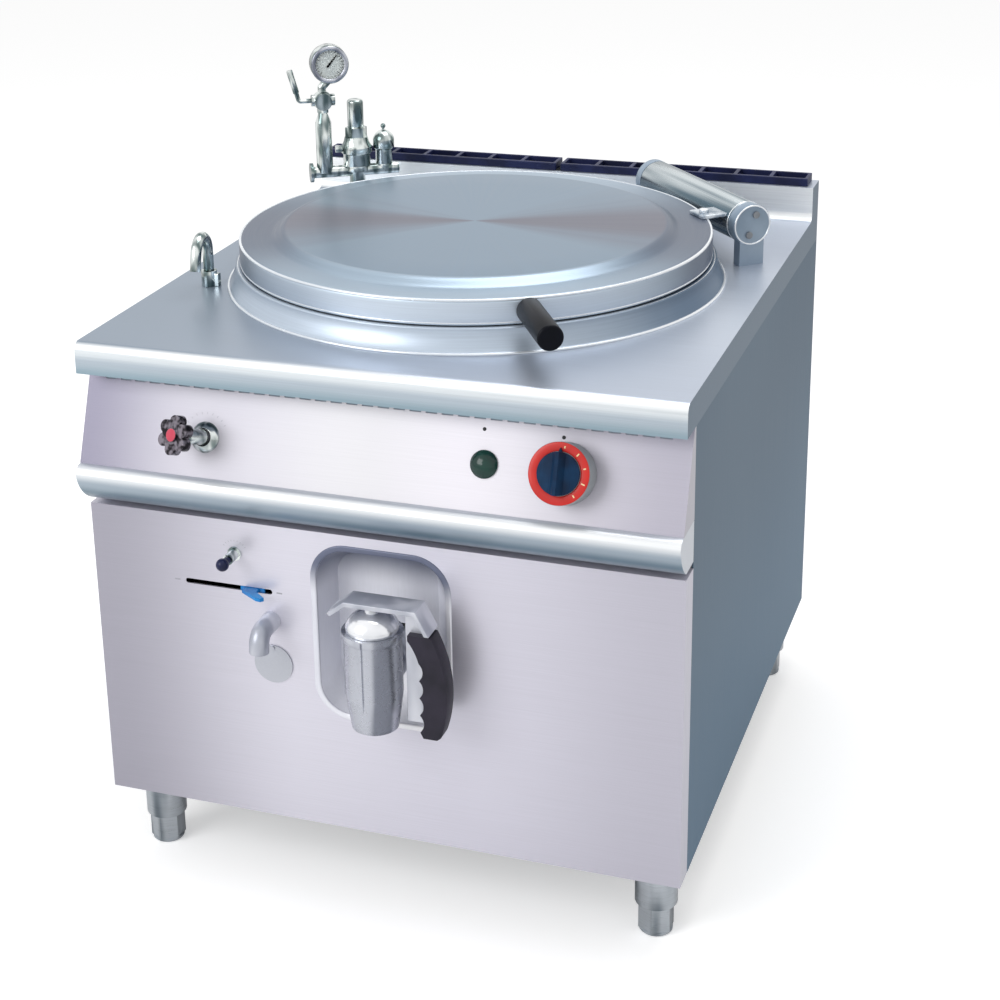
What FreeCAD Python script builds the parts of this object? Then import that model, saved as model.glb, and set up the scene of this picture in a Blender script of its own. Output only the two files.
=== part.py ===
import FreeCAD, Part
import os
from math import cos, hypot, pi, radians, sin, sqrt

# Steam jacketed kettle. Millimetres, z up from the floor, x to the right seen from the front.
# While it is modelled, y counts from the worktop's front edge towards the back.
# The last section moves everything so that the origin is under the middle of the whole object.

V = FreeCAD.Vector
X = V(1, 0, 0)
Y = V(0, 1, 0)
Z = V(0, 0, 1)

# Cabinet
cabinet_width = 800.0
cabinet_depth = 866.0
worktop_height = 760.0
worktop_sheet = 2.0
panel_sheet = 1.5
lip_drop = 42.0
nose_radius = 12.0
upstand_depth = 51.0
upstand_rise = 51.0
upstand_bend = 12.0
floor_height = 108.0
floor_sheet = 2.0
cheek_y = 45.0
post_width = 30.0
post_wall = 3.0
crossbar_height = 65.0
beam_width = 40.0
beam_top = 200.0
beam_depth = 20.0

# Front panels
panel_top_y = 38.0
panel_bottom_y = -9.0
panel_bottom_z = 598.0
vent_slot_length = 15.0
vent_slot_height = 3.0
vent_slot_pitch = 21.0
vent_slot_z = 703.0
vent_slot_margin = 14.0
ledge_nose_y = -24.0
ledge_nose_z = 586.0
ledge_shoulder = 4.5
ledge_foot_y = 8.0
ledge_foot_z = 543.0
ledge_belly = 6.0
lower_panel_y = 8.7
lower_panel_top = 534.6

# Feet and legs
foot_inset_x = 45.0
foot_front_y = 70.0
foot_rear_y = 806.0
leg_radius = 28.0
leg_wall = 2.0
leg_bush_height = 10.0
foot_height = 43.0
foot_gap = 0.3
foot_hex_radius = 24.0
foot_pad_height = 5.0
foot_stem_radius = 20.0
foot_stem_length = 55.0

# Pot, jacket and their heat
pot_y = 420.6
pot_radius = 300.0
pot_wall = 3.0
pot_bottom = 420.0
pot_top = 790.0
pot_knuckle = 60.0
bottom_dish = 6.0
pot_flange_radius = 328.0
pot_flange = 2.0
jacket_radius = 322.0
jacket_wall = 3.0
jacket_bottom = 395.0
jacket_top = 745.0
insulation_radius = 345.0
insulation_bottom = 440.0
chamber_radius = 300.0
chamber_wall = 3.0
burner_ring_radius = 180.0
burner_pipe_radius = 13.0
burner_pipe_wall = 2.0
burner_ports = 24
burner_port_radius = 1.5
flue_width = 300.0
flue_wall = 1.5
flue_front_y = 775.0
flue_back_y = 858.0
flue_neck_width = 120.0
flue_neck_low = 250.0
flue_neck_high = 340.0
collar_base_radius = 341.5
collar_top_radius = 332.0
collar_height = 32.0
collar_sheet = 2.5
collar_inner_radius = 324.0

# Flue grids
grid_length = 386.0
grid_gap = 8.0
grid_depth = 40.0
grid_height = 12.0
grid_wall = 5.0
grid_bar = 6.0
grid_openings = 7
grid_lug = 8.0
grid_lug_gap = 0.5

# Lid and its hinge
lid_radius = 327.0
lid_bottom = 796.0
lid_top = 827.5
lid_edge_round = 5.0
lid_step_outer = 282.0
lid_step_inner = 266.0
lid_crown_top = 837.5
lid_sheet = 2.0
seal_inner = 304.0
seal_outer = 316.0
seal_gap = 0.3
handle_azimuth = -59.5
handle_z = 811.0
handle_radius = 16.5
handle_length = 114.0
handle_bore = 5.0
hinge_azimuth = 41.67
hinge_distance = 365.0
hinge_z = 818.0
hinge_radius = 29.0
hinge_wall = 3.0
hinge_near = 128.0
hinge_far = -169.0
hinge_block_near = 16.0
hinge_block_far = 14.0
hinge_end_gap = 0.4
hinge_shaft_radius = 8.0
hinge_running_gap = 0.05
hinge_bush = 16.0
hinge_foot_width = 38.0
spring_wire = 4.0
spring_coil_radius = 16.0
spring_turns = 10
hinge_plate_thickness = 6.0
hinge_plate_inner = 240.0
hinge_plate_low = 10.0
hinge_plate_high = 148.0

# Safety group behind the lid
bar_start_x = -351.0
bar_start_y = 658.0
bar_length = 139.0
bar_heading = 30.6
bar_z = 825.0
bar_radius = 9.0
bar_flange_radius = 15.0
bar_flange = 5.0
riser_at = 74.0
riser_radius = 12.0
riser_flange_radius = 24.0
riser_flange = 5.0
steam_pipe_z = 700.0
gauge_pipe_at = 23.6
gauge_pipe_radius = 12.5
gauge_pipe_top = 903.0
gauge_neck_radius = 6.5
gauge_neck_top = 919.0
cock_z = 938.0
cock_radius = 15.0
cock_top = 958.0
cock_bonnet_radius = 13.0
cock_spindle_radius = 3.5
cock_reach = 36.0
lever_rise = 50.0
lever_lean = 15.0
lever_radius = 3.2
gauge_at = 36.0
gauge_z = 994.0
gauge_radius = 29.0
gauge_depth = 24.0
gauge_rim = 2.5
gauge_glass_thickness = 2.0
gauge_dial_depth = 6.0
needle_length = 17.0
needle_width = 3.0
needle_thickness = 1.2
needle_pin_radius = 1.5
needle_rest_turn = -40.0
relief_at = 74.0
relief_base_radius = 21.0
relief_base_top = 852.0
relief_bell_radius = 24.0
relief_bell_top = 868.0
relief_hex_radius = 17.0
relief_neck_bottom = 878.0
relief_neck_top = 893.0
relief_cap_radius = 12.5
relief_cap_top = 936.5
relief_pin_radius = 4.0
relief_side_radius = 5.5
relief_lift = 3.0
vent_at = 116.5
vent_base_radius = 13.0
vent_base_top = 856.0
vent_body_radius = 16.5
vent_body_top = 872.0
vent_dome_top = 886.0
vent_ball_radius = 4.0

# Filling spout
spout_x = -340.0
spout_y = 273.0
spout_radius = 7.5
spout_wall = 1.2
spout_base_radius = 11.0
spout_base_height = 22.0
spout_leg_top = 811.0
spout_bend = 24.0
spout_turn = 163.0
spout_tail = 24.0
spout_heading = 7.0
spout_tenon_radius = 6.0
spout_lug = 9.0
spout_gap = 0.3

# Inlet tap
inlet_x = -226.0
inlet_z = 646.0
inlet_tilt = 20.0
inlet_flange_radius = 20.0
inlet_neck_radius = 10.0
inlet_neck_length = 40.0
inlet_spindle_radius = 5.0
inlet_knob_back = 45.0
inlet_knob_front = 58.0
inlet_knob_core = 18.0
inlet_lobe_radius = 8.5
inlet_lobe_circle = 17.0
inlet_knob_lobes = 6
inlet_cap_radius = 9.0
inlet_cap_height = 2.0
valve_body_radius = 14.0
valve_body_length = 42.0
running_gap = 0.05

# Signal lamp
lamp_x = 147.5
lamp_z = 652.5
lamp_radius = 17.5
lamp_dome = 10.0
lamp_rim = 2.0
lamp_stem_radius = 11.0
lamp_stem_length = 30.0

# Energy knob
dial_x = 250.5
dial_z = 652.8
dial_radius = 38.0
dial_height = 33.0
dial_wall = 3.0
dial_gap = 0.8
dial_spindle_radius = 5.0
grip_radius = 26.0
grip_disc = 4.0
grip_height = 15.0
grip_bar_half = 8.0
gas_valve_radius = 20.0

# Level tap
level_x = -193.5
level_z = 489.0
level_flange_radius = 9.5
level_neck_radius = 7.0
level_neck_front = -13.0
level_ball_radius = 8.5
level_ball_y = -28.0
level_stem_radius = 3.5
level_body_radius = 9.0
level_body_back = 60.0

# Slide lever
slot_left = -267.0
slot_right = -143.0
slot_z = 440.5
slot_height = 7.0
blade_root_x = -172.0
blade_root_half = 10.0
blade_thickness = 5.0
blade_tip_x = -150.0
blade_tip_y = -18.0
blade_tip_half = 5.5
blade_tip_drop = 3.5
shoe_half_width = 17.0
shoe_half_height = 9.0
shoe_thickness = 4.0
shoe_gap = 0.3
rail_wall = 2.0

# Overflow and flame window
overflow_x = -146.0
overflow_z = 400.0
overflow_radius = 13.0
overflow_wall = 1.5
overflow_reach = 40.0
overflow_bend = 17.0
overflow_mouth_z = 374.0
overflow_back_y = 60.0
window_x = -146.0
window_z = 337.5
window_cover_radius = 27.0
window_cover_thickness = 1.5
window_tube_radius = 20.0
window_tube_wall = 1.5
window_pin_z = 360.5
window_pin_radius = 2.0
window_pin_head = 3.0
window_gap = 0.3

# Discharge tap
recess_left = -80.0
recess_right = 94.0
recess_bottom = 280.0
recess_top = 512.0
recess_corner = 42.0
recess_depth = 52.0
recess_sheet = 1.5
recess_back_left = -73.0
recess_back_right = 66.0
recess_back_bottom = 296.0
recess_back_top = 486.0
recess_back_corner = 30.0
tap_x = 15.0
tap_y = -40.0
tap_bottom = 302.0
tap_top = 436.0
tap_bottom_radius = 30.0
tap_radius = 37.0
tap_lip_radius = 39.0
tap_taper_top = 350.0
plug_radius = 27.0
plug_bore = 22.0
plug_bottom = 326.0
plug_head_radius = 34.0
plug_head_gap = 0.3
plug_dome_top = 460.0
plug_stub_radius = 9.0
tap_slit_width = 3.0
tap_slit_depth = 2.5
tap_slit_low = 333.0
drain_z = 368.0
drain_radius = 22.0
drain_wall = 2.0
drain_from_y = 205.0
drain_bend = 30.0
tap_boss_radius = 27.0
tap_boss_back = 30.0
lever_plate_z = 470.0
lever_plate_thickness = 6.0
lever_plate_front = -58.0
lever_plate_back = -22.0
lever_left_x = -35.0
lever_left_drop = 16.0
lever_knee_left_x = -14.0
lever_knee_right_x = 79.0
lever_right_x = 96.0
arm_left = 60.0
arm_right = 90.0
arm_bottom = 316.0
arm_thickness = 5.0
grip_top = 441.0
grip_bottom = 300.0
grip_right_top = 97.0
grip_right_belly = 116.0
grip_right_bottom = 107.0
grip_left_top = 66.0
grip_finger_x = 80.0
grip_finger_depth = 5.0
grip_fingers = 4
grip_finger_pitch = 24.0
handle_grip_thickness = 26.0

# Pipes and fasteners
gas_pipe_radius = 6.0
water_pipe_radius = 7.0
pipe_bend = 16.0
pipe_run_z = 150.0
inlet_end_z = 84.0
rear_inlet_x = 300.0
rear_inlet_y = 800.0
gas_drop_y = 85.0
union_wall = 3.0
union_length = 22.0
screw_radius = 3.0
screw_head_radius = 5.0
screw_head = 2.5
screw_length = 10.0

# Values that follow from the ones above
half_width = cabinet_width / 2
lip_bottom = worktop_height - lip_drop
upstand_front = cabinet_depth - upstand_depth
upstand_top = worktop_height + upstand_rise
panel_rise = lip_bottom - panel_bottom_z
panel_run = panel_top_y - panel_bottom_y
panel_slant = hypot(panel_rise, panel_run)
panel_normal = V(0, -panel_rise / panel_slant, panel_run / panel_slant)
frame_half = half_width - panel_sheet
foot_x = half_width - foot_inset_x
foot_places = [(sx * foot_x, y) for y in (foot_front_y, foot_rear_y) for sx in (-1, 1)]
bar_direction = V(cos(radians(bar_heading)), sin(radians(bar_heading)), 0)
bar_front = V(sin(radians(bar_heading)), -cos(radians(bar_heading)), 0)
hinge_out = V(cos(radians(hinge_azimuth)), sin(radians(hinge_azimuth)), 0)
hinge_axis = V(hinge_out.y, -hinge_out.x, 0)
pieces = {}


# Shape helpers

def block(x0, x1, y0, y1, z0, z1):
    """A box between two corners, given as pairs of sides."""
    return Part.makeBox(x1 - x0, y1 - y0, z1 - z0, V(x0, y0, z0))


def rod(start, end, radius):
    """A round rod from one point to another."""
    run = end - start
    return Part.makeCylinder(radius, run.Length, start, run)


def pipe(start, end, outer, inner):
    """A straight pipe with both ends open."""
    return rod(start, end, outer).cut(rod(start, end, inner))


def wire(points):
    """A closed outline through the points; an item (mid, end) is an arc to end by way of mid."""
    edges = []
    first = points[0]
    last = first
    for item in points[1:] + [first]:
        if isinstance(item, tuple):
            edges.append(Part.Arc(last, item[0], item[1]).toShape())
            last = item[1]
        elif (item - last).Length > 1e-6:
            edges.append(Part.makeLine(last, item))
            last = item
    return Part.Wire(edges)


def slab(points, along):
    """The outline's face pushed along a vector."""
    return Part.Face(wire(points)).extrude(along)


def side_slab(points, x0, x1):
    """An outline of (y, z) pairs or arcs, carried from x0 to x1."""
    def at(p):
        return V(x0, p[0], p[1])
    made = [(at(p[0]), at(p[1])) if isinstance(p[0], tuple) else at(p) for p in points]
    return slab(made, V(x1 - x0, 0, 0))


def front_slab(points, y0, y1):
    """An outline of (x, z) pairs or arcs, carried from y0 to y1."""
    def at(p):
        return V(p[0], y0, p[1])
    made = [(at(p[0]), at(p[1])) if isinstance(p[0], tuple) else at(p) for p in points]
    return slab(made, V(0, y1 - y0, 0))


def turned(points, base=V(0, 0, 0), axis=Z):
    """A lathe piece: (radius, height) pairs or arcs turned about an axis through base."""
    def at(p):
        return V(p[0], 0, p[1])
    made = [(at(p[0]), at(p[1])) if isinstance(p[0], tuple) else at(p) for p in points]
    shape = Part.Face(wire(made)).revolve(V(0, 0, 0), Z, 360)
    shape.Placement = FreeCAD.Placement(base, FreeCAD.Rotation(Z, axis))
    return shape


def prism(sides, radius, base, axis, length, turn=0.0):
    """A prism with that many sides and the given corner radius."""
    points = []
    for i in range(sides):
        a = 2 * pi * i / sides + radians(turn)
        points.append(V(radius * cos(a), radius * sin(a), 0))
    shape = slab(points, V(0, 0, length))
    shape.Placement = FreeCAD.Placement(base, FreeCAD.Rotation(Z, axis))
    return shape


def bent_rod(points, bend, radius):
    """A round rod along straight runs, joined by arcs of the bend radius."""
    edges = []
    last = points[0]
    for i in range(1, len(points) - 1):
        before = (points[i] - points[i - 1]).normalize()
        after = (points[i + 1] - points[i]).normalize()
        turn = before.getAngle(after)
        trim = bend * sin(turn / 2) / cos(turn / 2)
        first = points[i] - before * trim
        second = points[i] + after * trim
        inward = (after - before).normalize()
        centre = points[i] + inward * (bend / cos(turn / 2))
        middle = centre - inward * bend
        if (first - last).Length > 1e-6:
            edges.append(Part.makeLine(last, first))
        edges.append(Part.Arc(first, middle, second).toShape())
        last = second
    if (points[-1] - last).Length > 1e-6:
        edges.append(Part.makeLine(last, points[-1]))
    route = Part.Wire(edges)
    circle = Part.Wire(Part.makeCircle(radius, points[0], points[1] - points[0]))
    return route.makePipeShell([circle], True, False)


def bent_pipe(points, bend, outer, wall):
    """A bent rod with its bore taken out."""
    return bent_rod(points, bend, outer).cut(bent_rod(points, bend, outer - wall))


def joined(shapes):
    """Welded shapes as one solid."""
    whole = shapes[0].multiFuse(shapes[1:]) if len(shapes) > 1 else shapes[0]
    return whole.removeSplitter()


def rounded_outline(x0, x1, z0, z1, corner, y):
    """The wire of a rectangle with round corners, standing in the plane at y."""
    k = corner * (1 - sqrt(0.5))
    return wire([
        V(x0 + corner, y, z0), V(x1 - corner, y, z0),
        (V(x1 - k, y, z0 + k), V(x1, y, z0 + corner)), V(x1, y, z1 - corner),
        (V(x1 - k, y, z1 - k), V(x1 - corner, y, z1)), V(x0 + corner, y, z1),
        (V(x0 + k, y, z1 - k), V(x0, y, z1 - corner)), V(x0, y, z0 + corner),
        (V(x0 + k, y, z0 + k), V(x0 + corner, y, z0)),
    ])


def on_panel(x, z):
    """The point of the inclined control panel's front face at that x and z."""
    share = (z - panel_bottom_z) / panel_rise
    return V(x, panel_bottom_y + share * panel_run, z)


def on_bar(along, z):
    """The point above the safety group's bar, that far from its left end."""
    return V(bar_start_x, bar_start_y, z) + bar_direction * along


def round_pot(radius, bottom, top, knuckle):
    """A round body with a slightly dished bottom and a knuckle, as a full solid."""
    flat = radius - knuckle
    low = bottom + bottom_dish
    k = knuckle * sqrt(0.5)
    return turned([
        (0, bottom), (flat, low),
        ((flat + k, low + knuckle - k), (radius, low + knuckle)),
        (radius, top), (0, top),
    ], V(0, pot_y, 0))


# Worktop with its front nose and rear upstand, one bent and welded sheet

def worktop_section(inset):
    """The worktop's side outline, moved inwards by inset."""
    top = worktop_height - inset
    back = cabinet_depth - inset
    low = lip_bottom - inset
    nose = nose_radius - inset
    bend = upstand_bend + inset
    bend_y = upstand_front - upstand_bend
    bend_z = worktop_height + upstand_bend
    k = sqrt(0.5)
    return [
        (inset, low), (inset, worktop_height - nose_radius),
        ((nose_radius - nose * k, worktop_height - nose_radius + nose * k), (nose_radius, top)),
        (bend_y, top),
        ((bend_y + bend * k, bend_z - bend * k), (bend_y + bend, bend_z)),
        (bend_y + bend, upstand_top - inset), (back, upstand_top - inset), (back, low),
    ]


steam_pipe_foot = on_bar(riser_at, worktop_height)
spout_foot = V(spout_x, spout_y, worktop_height)
worktop = side_slab(worktop_section(0), -half_width, half_width)
inside = half_width - worktop_sheet
worktop = worktop.cut(side_slab(worktop_section(worktop_sheet), -inside, inside))
lip_return = block(-inside, inside, worktop_sheet, panel_top_y, lip_bottom, lip_bottom + worktop_sheet)
worktop = worktop.fuse(lip_return)
worktop = worktop.cut(Part.makeCylinder(pot_flange_radius, 100, V(0, pot_y, worktop_height - 50)))
for foot, radius in ((steam_pipe_foot, riser_radius), (spout_foot, spout_tenon_radius)):
    worktop = worktop.cut(Part.makeCylinder(radius, 40, foot - Z * 20))
duct_inside = flue_width / 2 - flue_wall
worktop = worktop.cut(block(-duct_inside, duct_inside, upstand_front + 8, flue_back_y - flue_wall,
                            upstand_top - 20, upstand_top + 20))
pieces["worktop"] = worktop.removeSplitter()

# Collar that carries the pot in the worktop
collar_top = worktop_height + collar_height
pieces["pot_collar"] = turned([
    (collar_base_radius, worktop_height), (collar_top_radius, collar_top - collar_sheet),
    ((collar_top_radius - collar_sheet * 0.3, collar_top - collar_sheet * 0.3),
     (collar_top_radius - collar_sheet, collar_top)),
    (collar_inner_radius, collar_top), (collar_inner_radius, pot_top),
    (pot_flange_radius, pot_top), (pot_flange_radius, worktop_height),
], V(0, pot_y, 0))

# Drain from the pot's floor to the discharge tap
drain_path = [V(tap_x, drain_from_y, pot_bottom + bottom_dish), V(tap_x, drain_from_y, drain_z),
              V(tap_x, tap_boss_back, drain_z)]
drain_body = bent_rod(drain_path, drain_bend, drain_radius)
pieces["drain_pipe"] = bent_pipe(drain_path, drain_bend, drain_radius, drain_wall)
drain_hole = Part.makeCylinder(drain_radius, 60, V(tap_x, drain_from_y, pot_bottom - 40))

# Pot, jacket, insulation and fire space
pot = round_pot(pot_radius + pot_wall, pot_bottom, pot_top, pot_knuckle)
pot = pot.fuse(turned([(pot_radius, pot_top - pot_flange), (pot_flange_radius, pot_top - pot_flange),
                       (pot_flange_radius, pot_top), (pot_radius, pot_top)], V(0, pot_y, 0)))
pot = pot.cut(round_pot(pot_radius, pot_bottom + pot_wall, pot_top + 10, pot_knuckle - pot_wall))
pieces["inner_vessel"] = pot.cut(drain_hole).removeSplitter()

steam_pipe_at = on_bar(riser_at, steam_pipe_z)
steam_inward = (V(0, pot_y, steam_pipe_z) - steam_pipe_at).normalize()
steam_pipe_end = V(0, pot_y, steam_pipe_z) - steam_inward * (jacket_radius - 1)
steam_entry = rod(steam_pipe_at, V(0, pot_y, steam_pipe_z) - steam_inward * pot_radius, riser_radius)
jacket_solid = round_pot(jacket_radius, jacket_bottom, jacket_top, pot_knuckle)
jacket = jacket_solid.cut(
    round_pot(jacket_radius - jacket_wall, jacket_bottom + jacket_wall, jacket_top - jacket_wall,
              pot_knuckle - jacket_wall))
jacket = jacket.cut(Part.makeCylinder(pot_radius + pot_wall, 100, V(0, pot_y, jacket_top - 50)))
pieces["jacket_shell"] = jacket.cut(drain_hole).cut(steam_entry)

insulation = turned([(jacket_radius, insulation_bottom), (insulation_radius, insulation_bottom),
                     (insulation_radius, jacket_top), (jacket_radius, jacket_top)], V(0, pot_y, 0))
insulation = insulation.cut(jacket_solid)
pieces["insulation"] = insulation.cut(steam_entry)

window_back_y = pot_y - sqrt(chamber_radius ** 2 - window_x ** 2) + chamber_wall
window_front = lower_panel_y + panel_sheet
chamber = turned([(chamber_radius, beam_top), (chamber_radius + chamber_wall, beam_top),
                  (chamber_radius + chamber_wall, insulation_bottom - 1),
                  (chamber_radius, insulation_bottom - 1)], V(0, pot_y, 0))
neck_back = flue_front_y + flue_wall
neck_half = flue_neck_width / 2
flue_neck = block(-neck_half, neck_half, pot_y + 250, flue_front_y, flue_neck_low, flue_neck_high)
neck_hole = block(-neck_half + flue_wall, neck_half - flue_wall, pot_y + 240, neck_back + 1,
                  flue_neck_low + flue_wall, flue_neck_high - flue_wall)
chamber_core = Part.makeCylinder(chamber_radius, 300, V(0, pot_y, beam_top - 10))
sight_outer = rod(V(window_x, window_front, window_z), V(window_x, window_back_y + 40, window_z),
                  window_tube_radius)
sight_inner = rod(V(window_x, 0, window_z), V(window_x, window_back_y + 60, window_z),
                  window_tube_radius - window_tube_wall)
chamber = joined([chamber, sight_outer.cut(chamber_core), flue_neck.cut(chamber_core)])
chamber = chamber.cut(sight_inner).cut(neck_hole).cut(drain_body).cut(jacket_solid)

duct_low = flue_neck_low - 30
duct_step = worktop_height - worktop_sheet
duct_rise_y = upstand_front + worktop_sheet
duct_half = flue_width / 2
duct_outer = block(-duct_half, duct_half, flue_front_y, flue_back_y, duct_low, duct_step).fuse(
    block(-duct_half, duct_half, duct_rise_y, flue_back_y, duct_step, upstand_top - worktop_sheet))
duct_inner = block(-duct_inside, duct_inside, neck_back, flue_back_y - flue_wall,
                   duct_low + flue_wall, duct_step - flue_wall).fuse(
    block(-duct_inside, duct_inside, duct_rise_y + flue_wall, flue_back_y - flue_wall,
          duct_step - flue_wall - 1, upstand_top + 10))

# Frame with its floor, posts, rails and the two beams under the fire space

def angle_post(sx, y, sy):
    """A corner post of angle section: sx and sy say which way its legs point inwards."""
    x0 = sx * frame_half
    x1 = sx * (frame_half - post_width)
    xw = sx * (frame_half - post_wall)
    y1 = y + sy * post_width
    yw = y + sy * post_wall
    low = floor_height + floor_sheet
    one = block(min(x0, x1), max(x0, x1), min(y, yw), max(y, yw), low, lip_bottom)
    two = block(min(x0, xw), max(x0, xw), min(y, y1), max(y, y1), low, lip_bottom)
    return one.fuse(two)


frame_back = cabinet_depth - panel_sheet
parts = [block(-frame_half, frame_half, cheek_y, frame_back, floor_height, floor_height + floor_sheet)]
for sx in (-1, 1):
    parts.append(angle_post(sx, cheek_y, 1))
    parts.append(angle_post(sx, frame_back, -1))
    low = min(sx * frame_half, sx * (frame_half - post_width))
    parts.append(block(low, low + post_width, cheek_y, frame_back, beam_top - beam_depth, beam_top))
    rail_out = half_width - worktop_sheet
    low = min(sx * rail_out, sx * (rail_out - post_width))
    parts.append(block(low, low + post_width, cheek_y, frame_back - worktop_sheet,
                       lip_bottom, lip_bottom + post_wall))
    thin = min(sx * rail_out, sx * (rail_out - post_wall))
    parts.append(block(thin, thin + post_wall, cheek_y, frame_back - worktop_sheet,
                       lip_bottom, worktop_height - worktop_sheet))
for side in (-1, 1):
    y = pot_y + side * burner_ring_radius
    parts.append(block(-frame_half, frame_half, y - beam_width / 2, y + beam_width / 2,
                       beam_top - beam_depth, beam_top))
parts.append(block(-frame_half, frame_half, cheek_y, cheek_y + post_wall,
                   lower_panel_top, lower_panel_top + crossbar_height))
parts.append(block(-rail_out, rail_out, cheek_y, cheek_y + post_wall,
                   lip_bottom, worktop_height - worktop_sheet))
pieces["base_frame"] = joined(parts)

# Outer panels
pieces["side_panel_left"] = block(-half_width, -frame_half, cheek_y, cabinet_depth,
                                 floor_height, lip_bottom)
pieces["side_panel_right"] = block(frame_half, half_width, cheek_y, cabinet_depth, floor_height, lip_bottom)
pieces["back_panel"] = block(-frame_half, frame_half, frame_back, cabinet_depth, floor_height, lip_bottom)

# Legs and adjustable feet
legs = []
for x, y in foot_places:
    low = foot_height + foot_gap
    leg = pipe(V(x, y, low), V(x, y, floor_height), leg_radius, leg_radius - leg_wall)
    bush = pipe(V(x, y, low), V(x, y, low + leg_bush_height), leg_radius - leg_wall / 2,
                foot_stem_radius + running_gap)
    legs.append(joined([leg, bush]))
pieces["leg_tubes"] = Part.Compound(legs)
foot_names = ("foot_front_left", "foot_front_right", "foot_rear_left", "foot_rear_right")
for name, (x, y) in zip(foot_names, foot_places):
    pad = turned([(0, 0), (foot_stem_radius, 0), (foot_stem_radius + 2, 2),
                  (foot_stem_radius + 2, foot_pad_height), (0, foot_pad_height)], V(x, y, 0))
    nut = prism(6, foot_hex_radius, V(x, y, foot_pad_height), Z, foot_height - foot_pad_height, 30)
    stem = Part.makeCylinder(foot_stem_radius, foot_stem_length, V(x, y, foot_height))
    pieces[name] = joined([pad, nut, stem])

# Burner ring with its ports, standing on the beams
burner_z = beam_top + burner_pipe_radius
burner_at = V(0, pot_y, burner_z)
burner = Part.makeTorus(burner_ring_radius, burner_pipe_radius, burner_at)
burner = burner.cut(Part.makeTorus(burner_ring_radius, burner_pipe_radius - burner_pipe_wall, burner_at))
for i in range(burner_ports):
    a = 2 * pi * i / burner_ports
    at = burner_at + V(burner_ring_radius * cos(a), burner_ring_radius * sin(a), 0)
    burner = burner.cut(Part.makeCylinder(burner_port_radius, 2 * burner_pipe_radius, at))

# Control panel, inclined, with cheeks and a row of vent slots
inward_y = panel_sheet * panel_slant / panel_rise
lean_y = panel_sheet * panel_run / panel_rise
panel = side_slab([(panel_top_y, lip_bottom), (panel_bottom_y, panel_bottom_z),
                   (cheek_y, panel_bottom_z), (cheek_y, lip_bottom)], -half_width, half_width)
panel = panel.cut(side_slab([
    (panel_top_y + inward_y - lean_y, lip_bottom - panel_sheet),
    (panel_bottom_y + inward_y + lean_y, panel_bottom_z + panel_sheet),
    (cheek_y + 1, panel_bottom_z + panel_sheet), (cheek_y + 1, lip_bottom - panel_sheet)],
    -frame_half, frame_half))
slot_count = int((cabinet_width - 2 * vent_slot_margin) / vent_slot_pitch)
slot_start = -slot_count * vent_slot_pitch / 2 + (vent_slot_pitch - vent_slot_length) / 2
slot_y = on_panel(0, vent_slot_z).y
for i in range(slot_count):
    x0 = slot_start + i * vent_slot_pitch
    panel = panel.cut(block(x0, x0 + vent_slot_length, slot_y - 10, slot_y + 8,
                            vent_slot_z, vent_slot_z + vent_slot_height))
inlet_at = on_panel(inlet_x, inlet_z)
lamp_at = on_panel(lamp_x, lamp_z)
dial_at = on_panel(dial_x, dial_z)
for at, radius in ((inlet_at, valve_body_radius), (lamp_at, lamp_stem_radius),
                   (dial_at, dial_spindle_radius + 2)):
    panel = panel.cut(rod(at - panel_normal * 10, at + panel_normal * 5, radius))
pieces["control_panel"] = panel

# Round-nosed ledge between the two front panels

def ledge_section(inset):
    """The ledge's side outline, moved inwards by inset."""
    nose_y = ledge_nose_y + inset
    foot_z = ledge_foot_z + inset
    top_z = panel_bottom_z - inset
    mid_y = (nose_y + ledge_foot_y) / 2 - ledge_belly * 0.8
    mid_z = (ledge_nose_z + foot_z) / 2 - ledge_belly * 0.6
    foot_y = ledge_foot_y + inset * 0.5
    return [
        (panel_bottom_y, top_z),
        ((nose_y + ledge_shoulder, (top_z + ledge_nose_z) / 2 + 2), (nose_y, ledge_nose_z)),
        ((mid_y, mid_z), (foot_y, foot_z)),
        (cheek_y + inset, foot_z), (cheek_y + inset, top_z),
    ]


ledge = side_slab(ledge_section(0), -half_width, half_width)
pieces["front_ledge"] = ledge.cut(side_slab(ledge_section(panel_sheet), -frame_half, frame_half))

# Lower front panel, a folded tray with the cut-outs for everything that comes through it
lower = block(-half_width, half_width, lower_panel_y, cheek_y, floor_height, lower_panel_top)
lower = lower.cut(block(-frame_half, frame_half, window_front, cheek_y + 1,
                        floor_height + panel_sheet, lower_panel_top - panel_sheet))
recess_front = rounded_outline(recess_left, recess_right, recess_bottom, recess_top, recess_corner,
                               lower_panel_y)
lower = lower.cut(Part.Face(recess_front).extrude(V(0, panel_sheet, 0)))
slot_mid = slot_height / 2
slot = joined([
    block(slot_left + slot_mid, slot_right - slot_mid, 0, 15, slot_z - slot_mid, slot_z + slot_mid),
    rod(V(slot_left + slot_mid, 0, slot_z), V(slot_left + slot_mid, 15, slot_z), slot_mid),
    rod(V(slot_right - slot_mid, 0, slot_z), V(slot_right - slot_mid, 15, slot_z), slot_mid)])
lower = lower.cut(slot)
for x, z, radius in ((level_x, level_z, level_body_radius), (overflow_x, overflow_z, overflow_radius),
                     (window_x, window_z, window_tube_radius - window_tube_wall)):
    lower = lower.cut(rod(V(x, 0, z), V(x, 20, z), radius))
lower = lower.cut(rod(V(window_x, 0, window_pin_z), V(window_x, 20, window_pin_z),
                      window_pin_radius + running_gap))
pieces["lower_panel"] = lower

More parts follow.
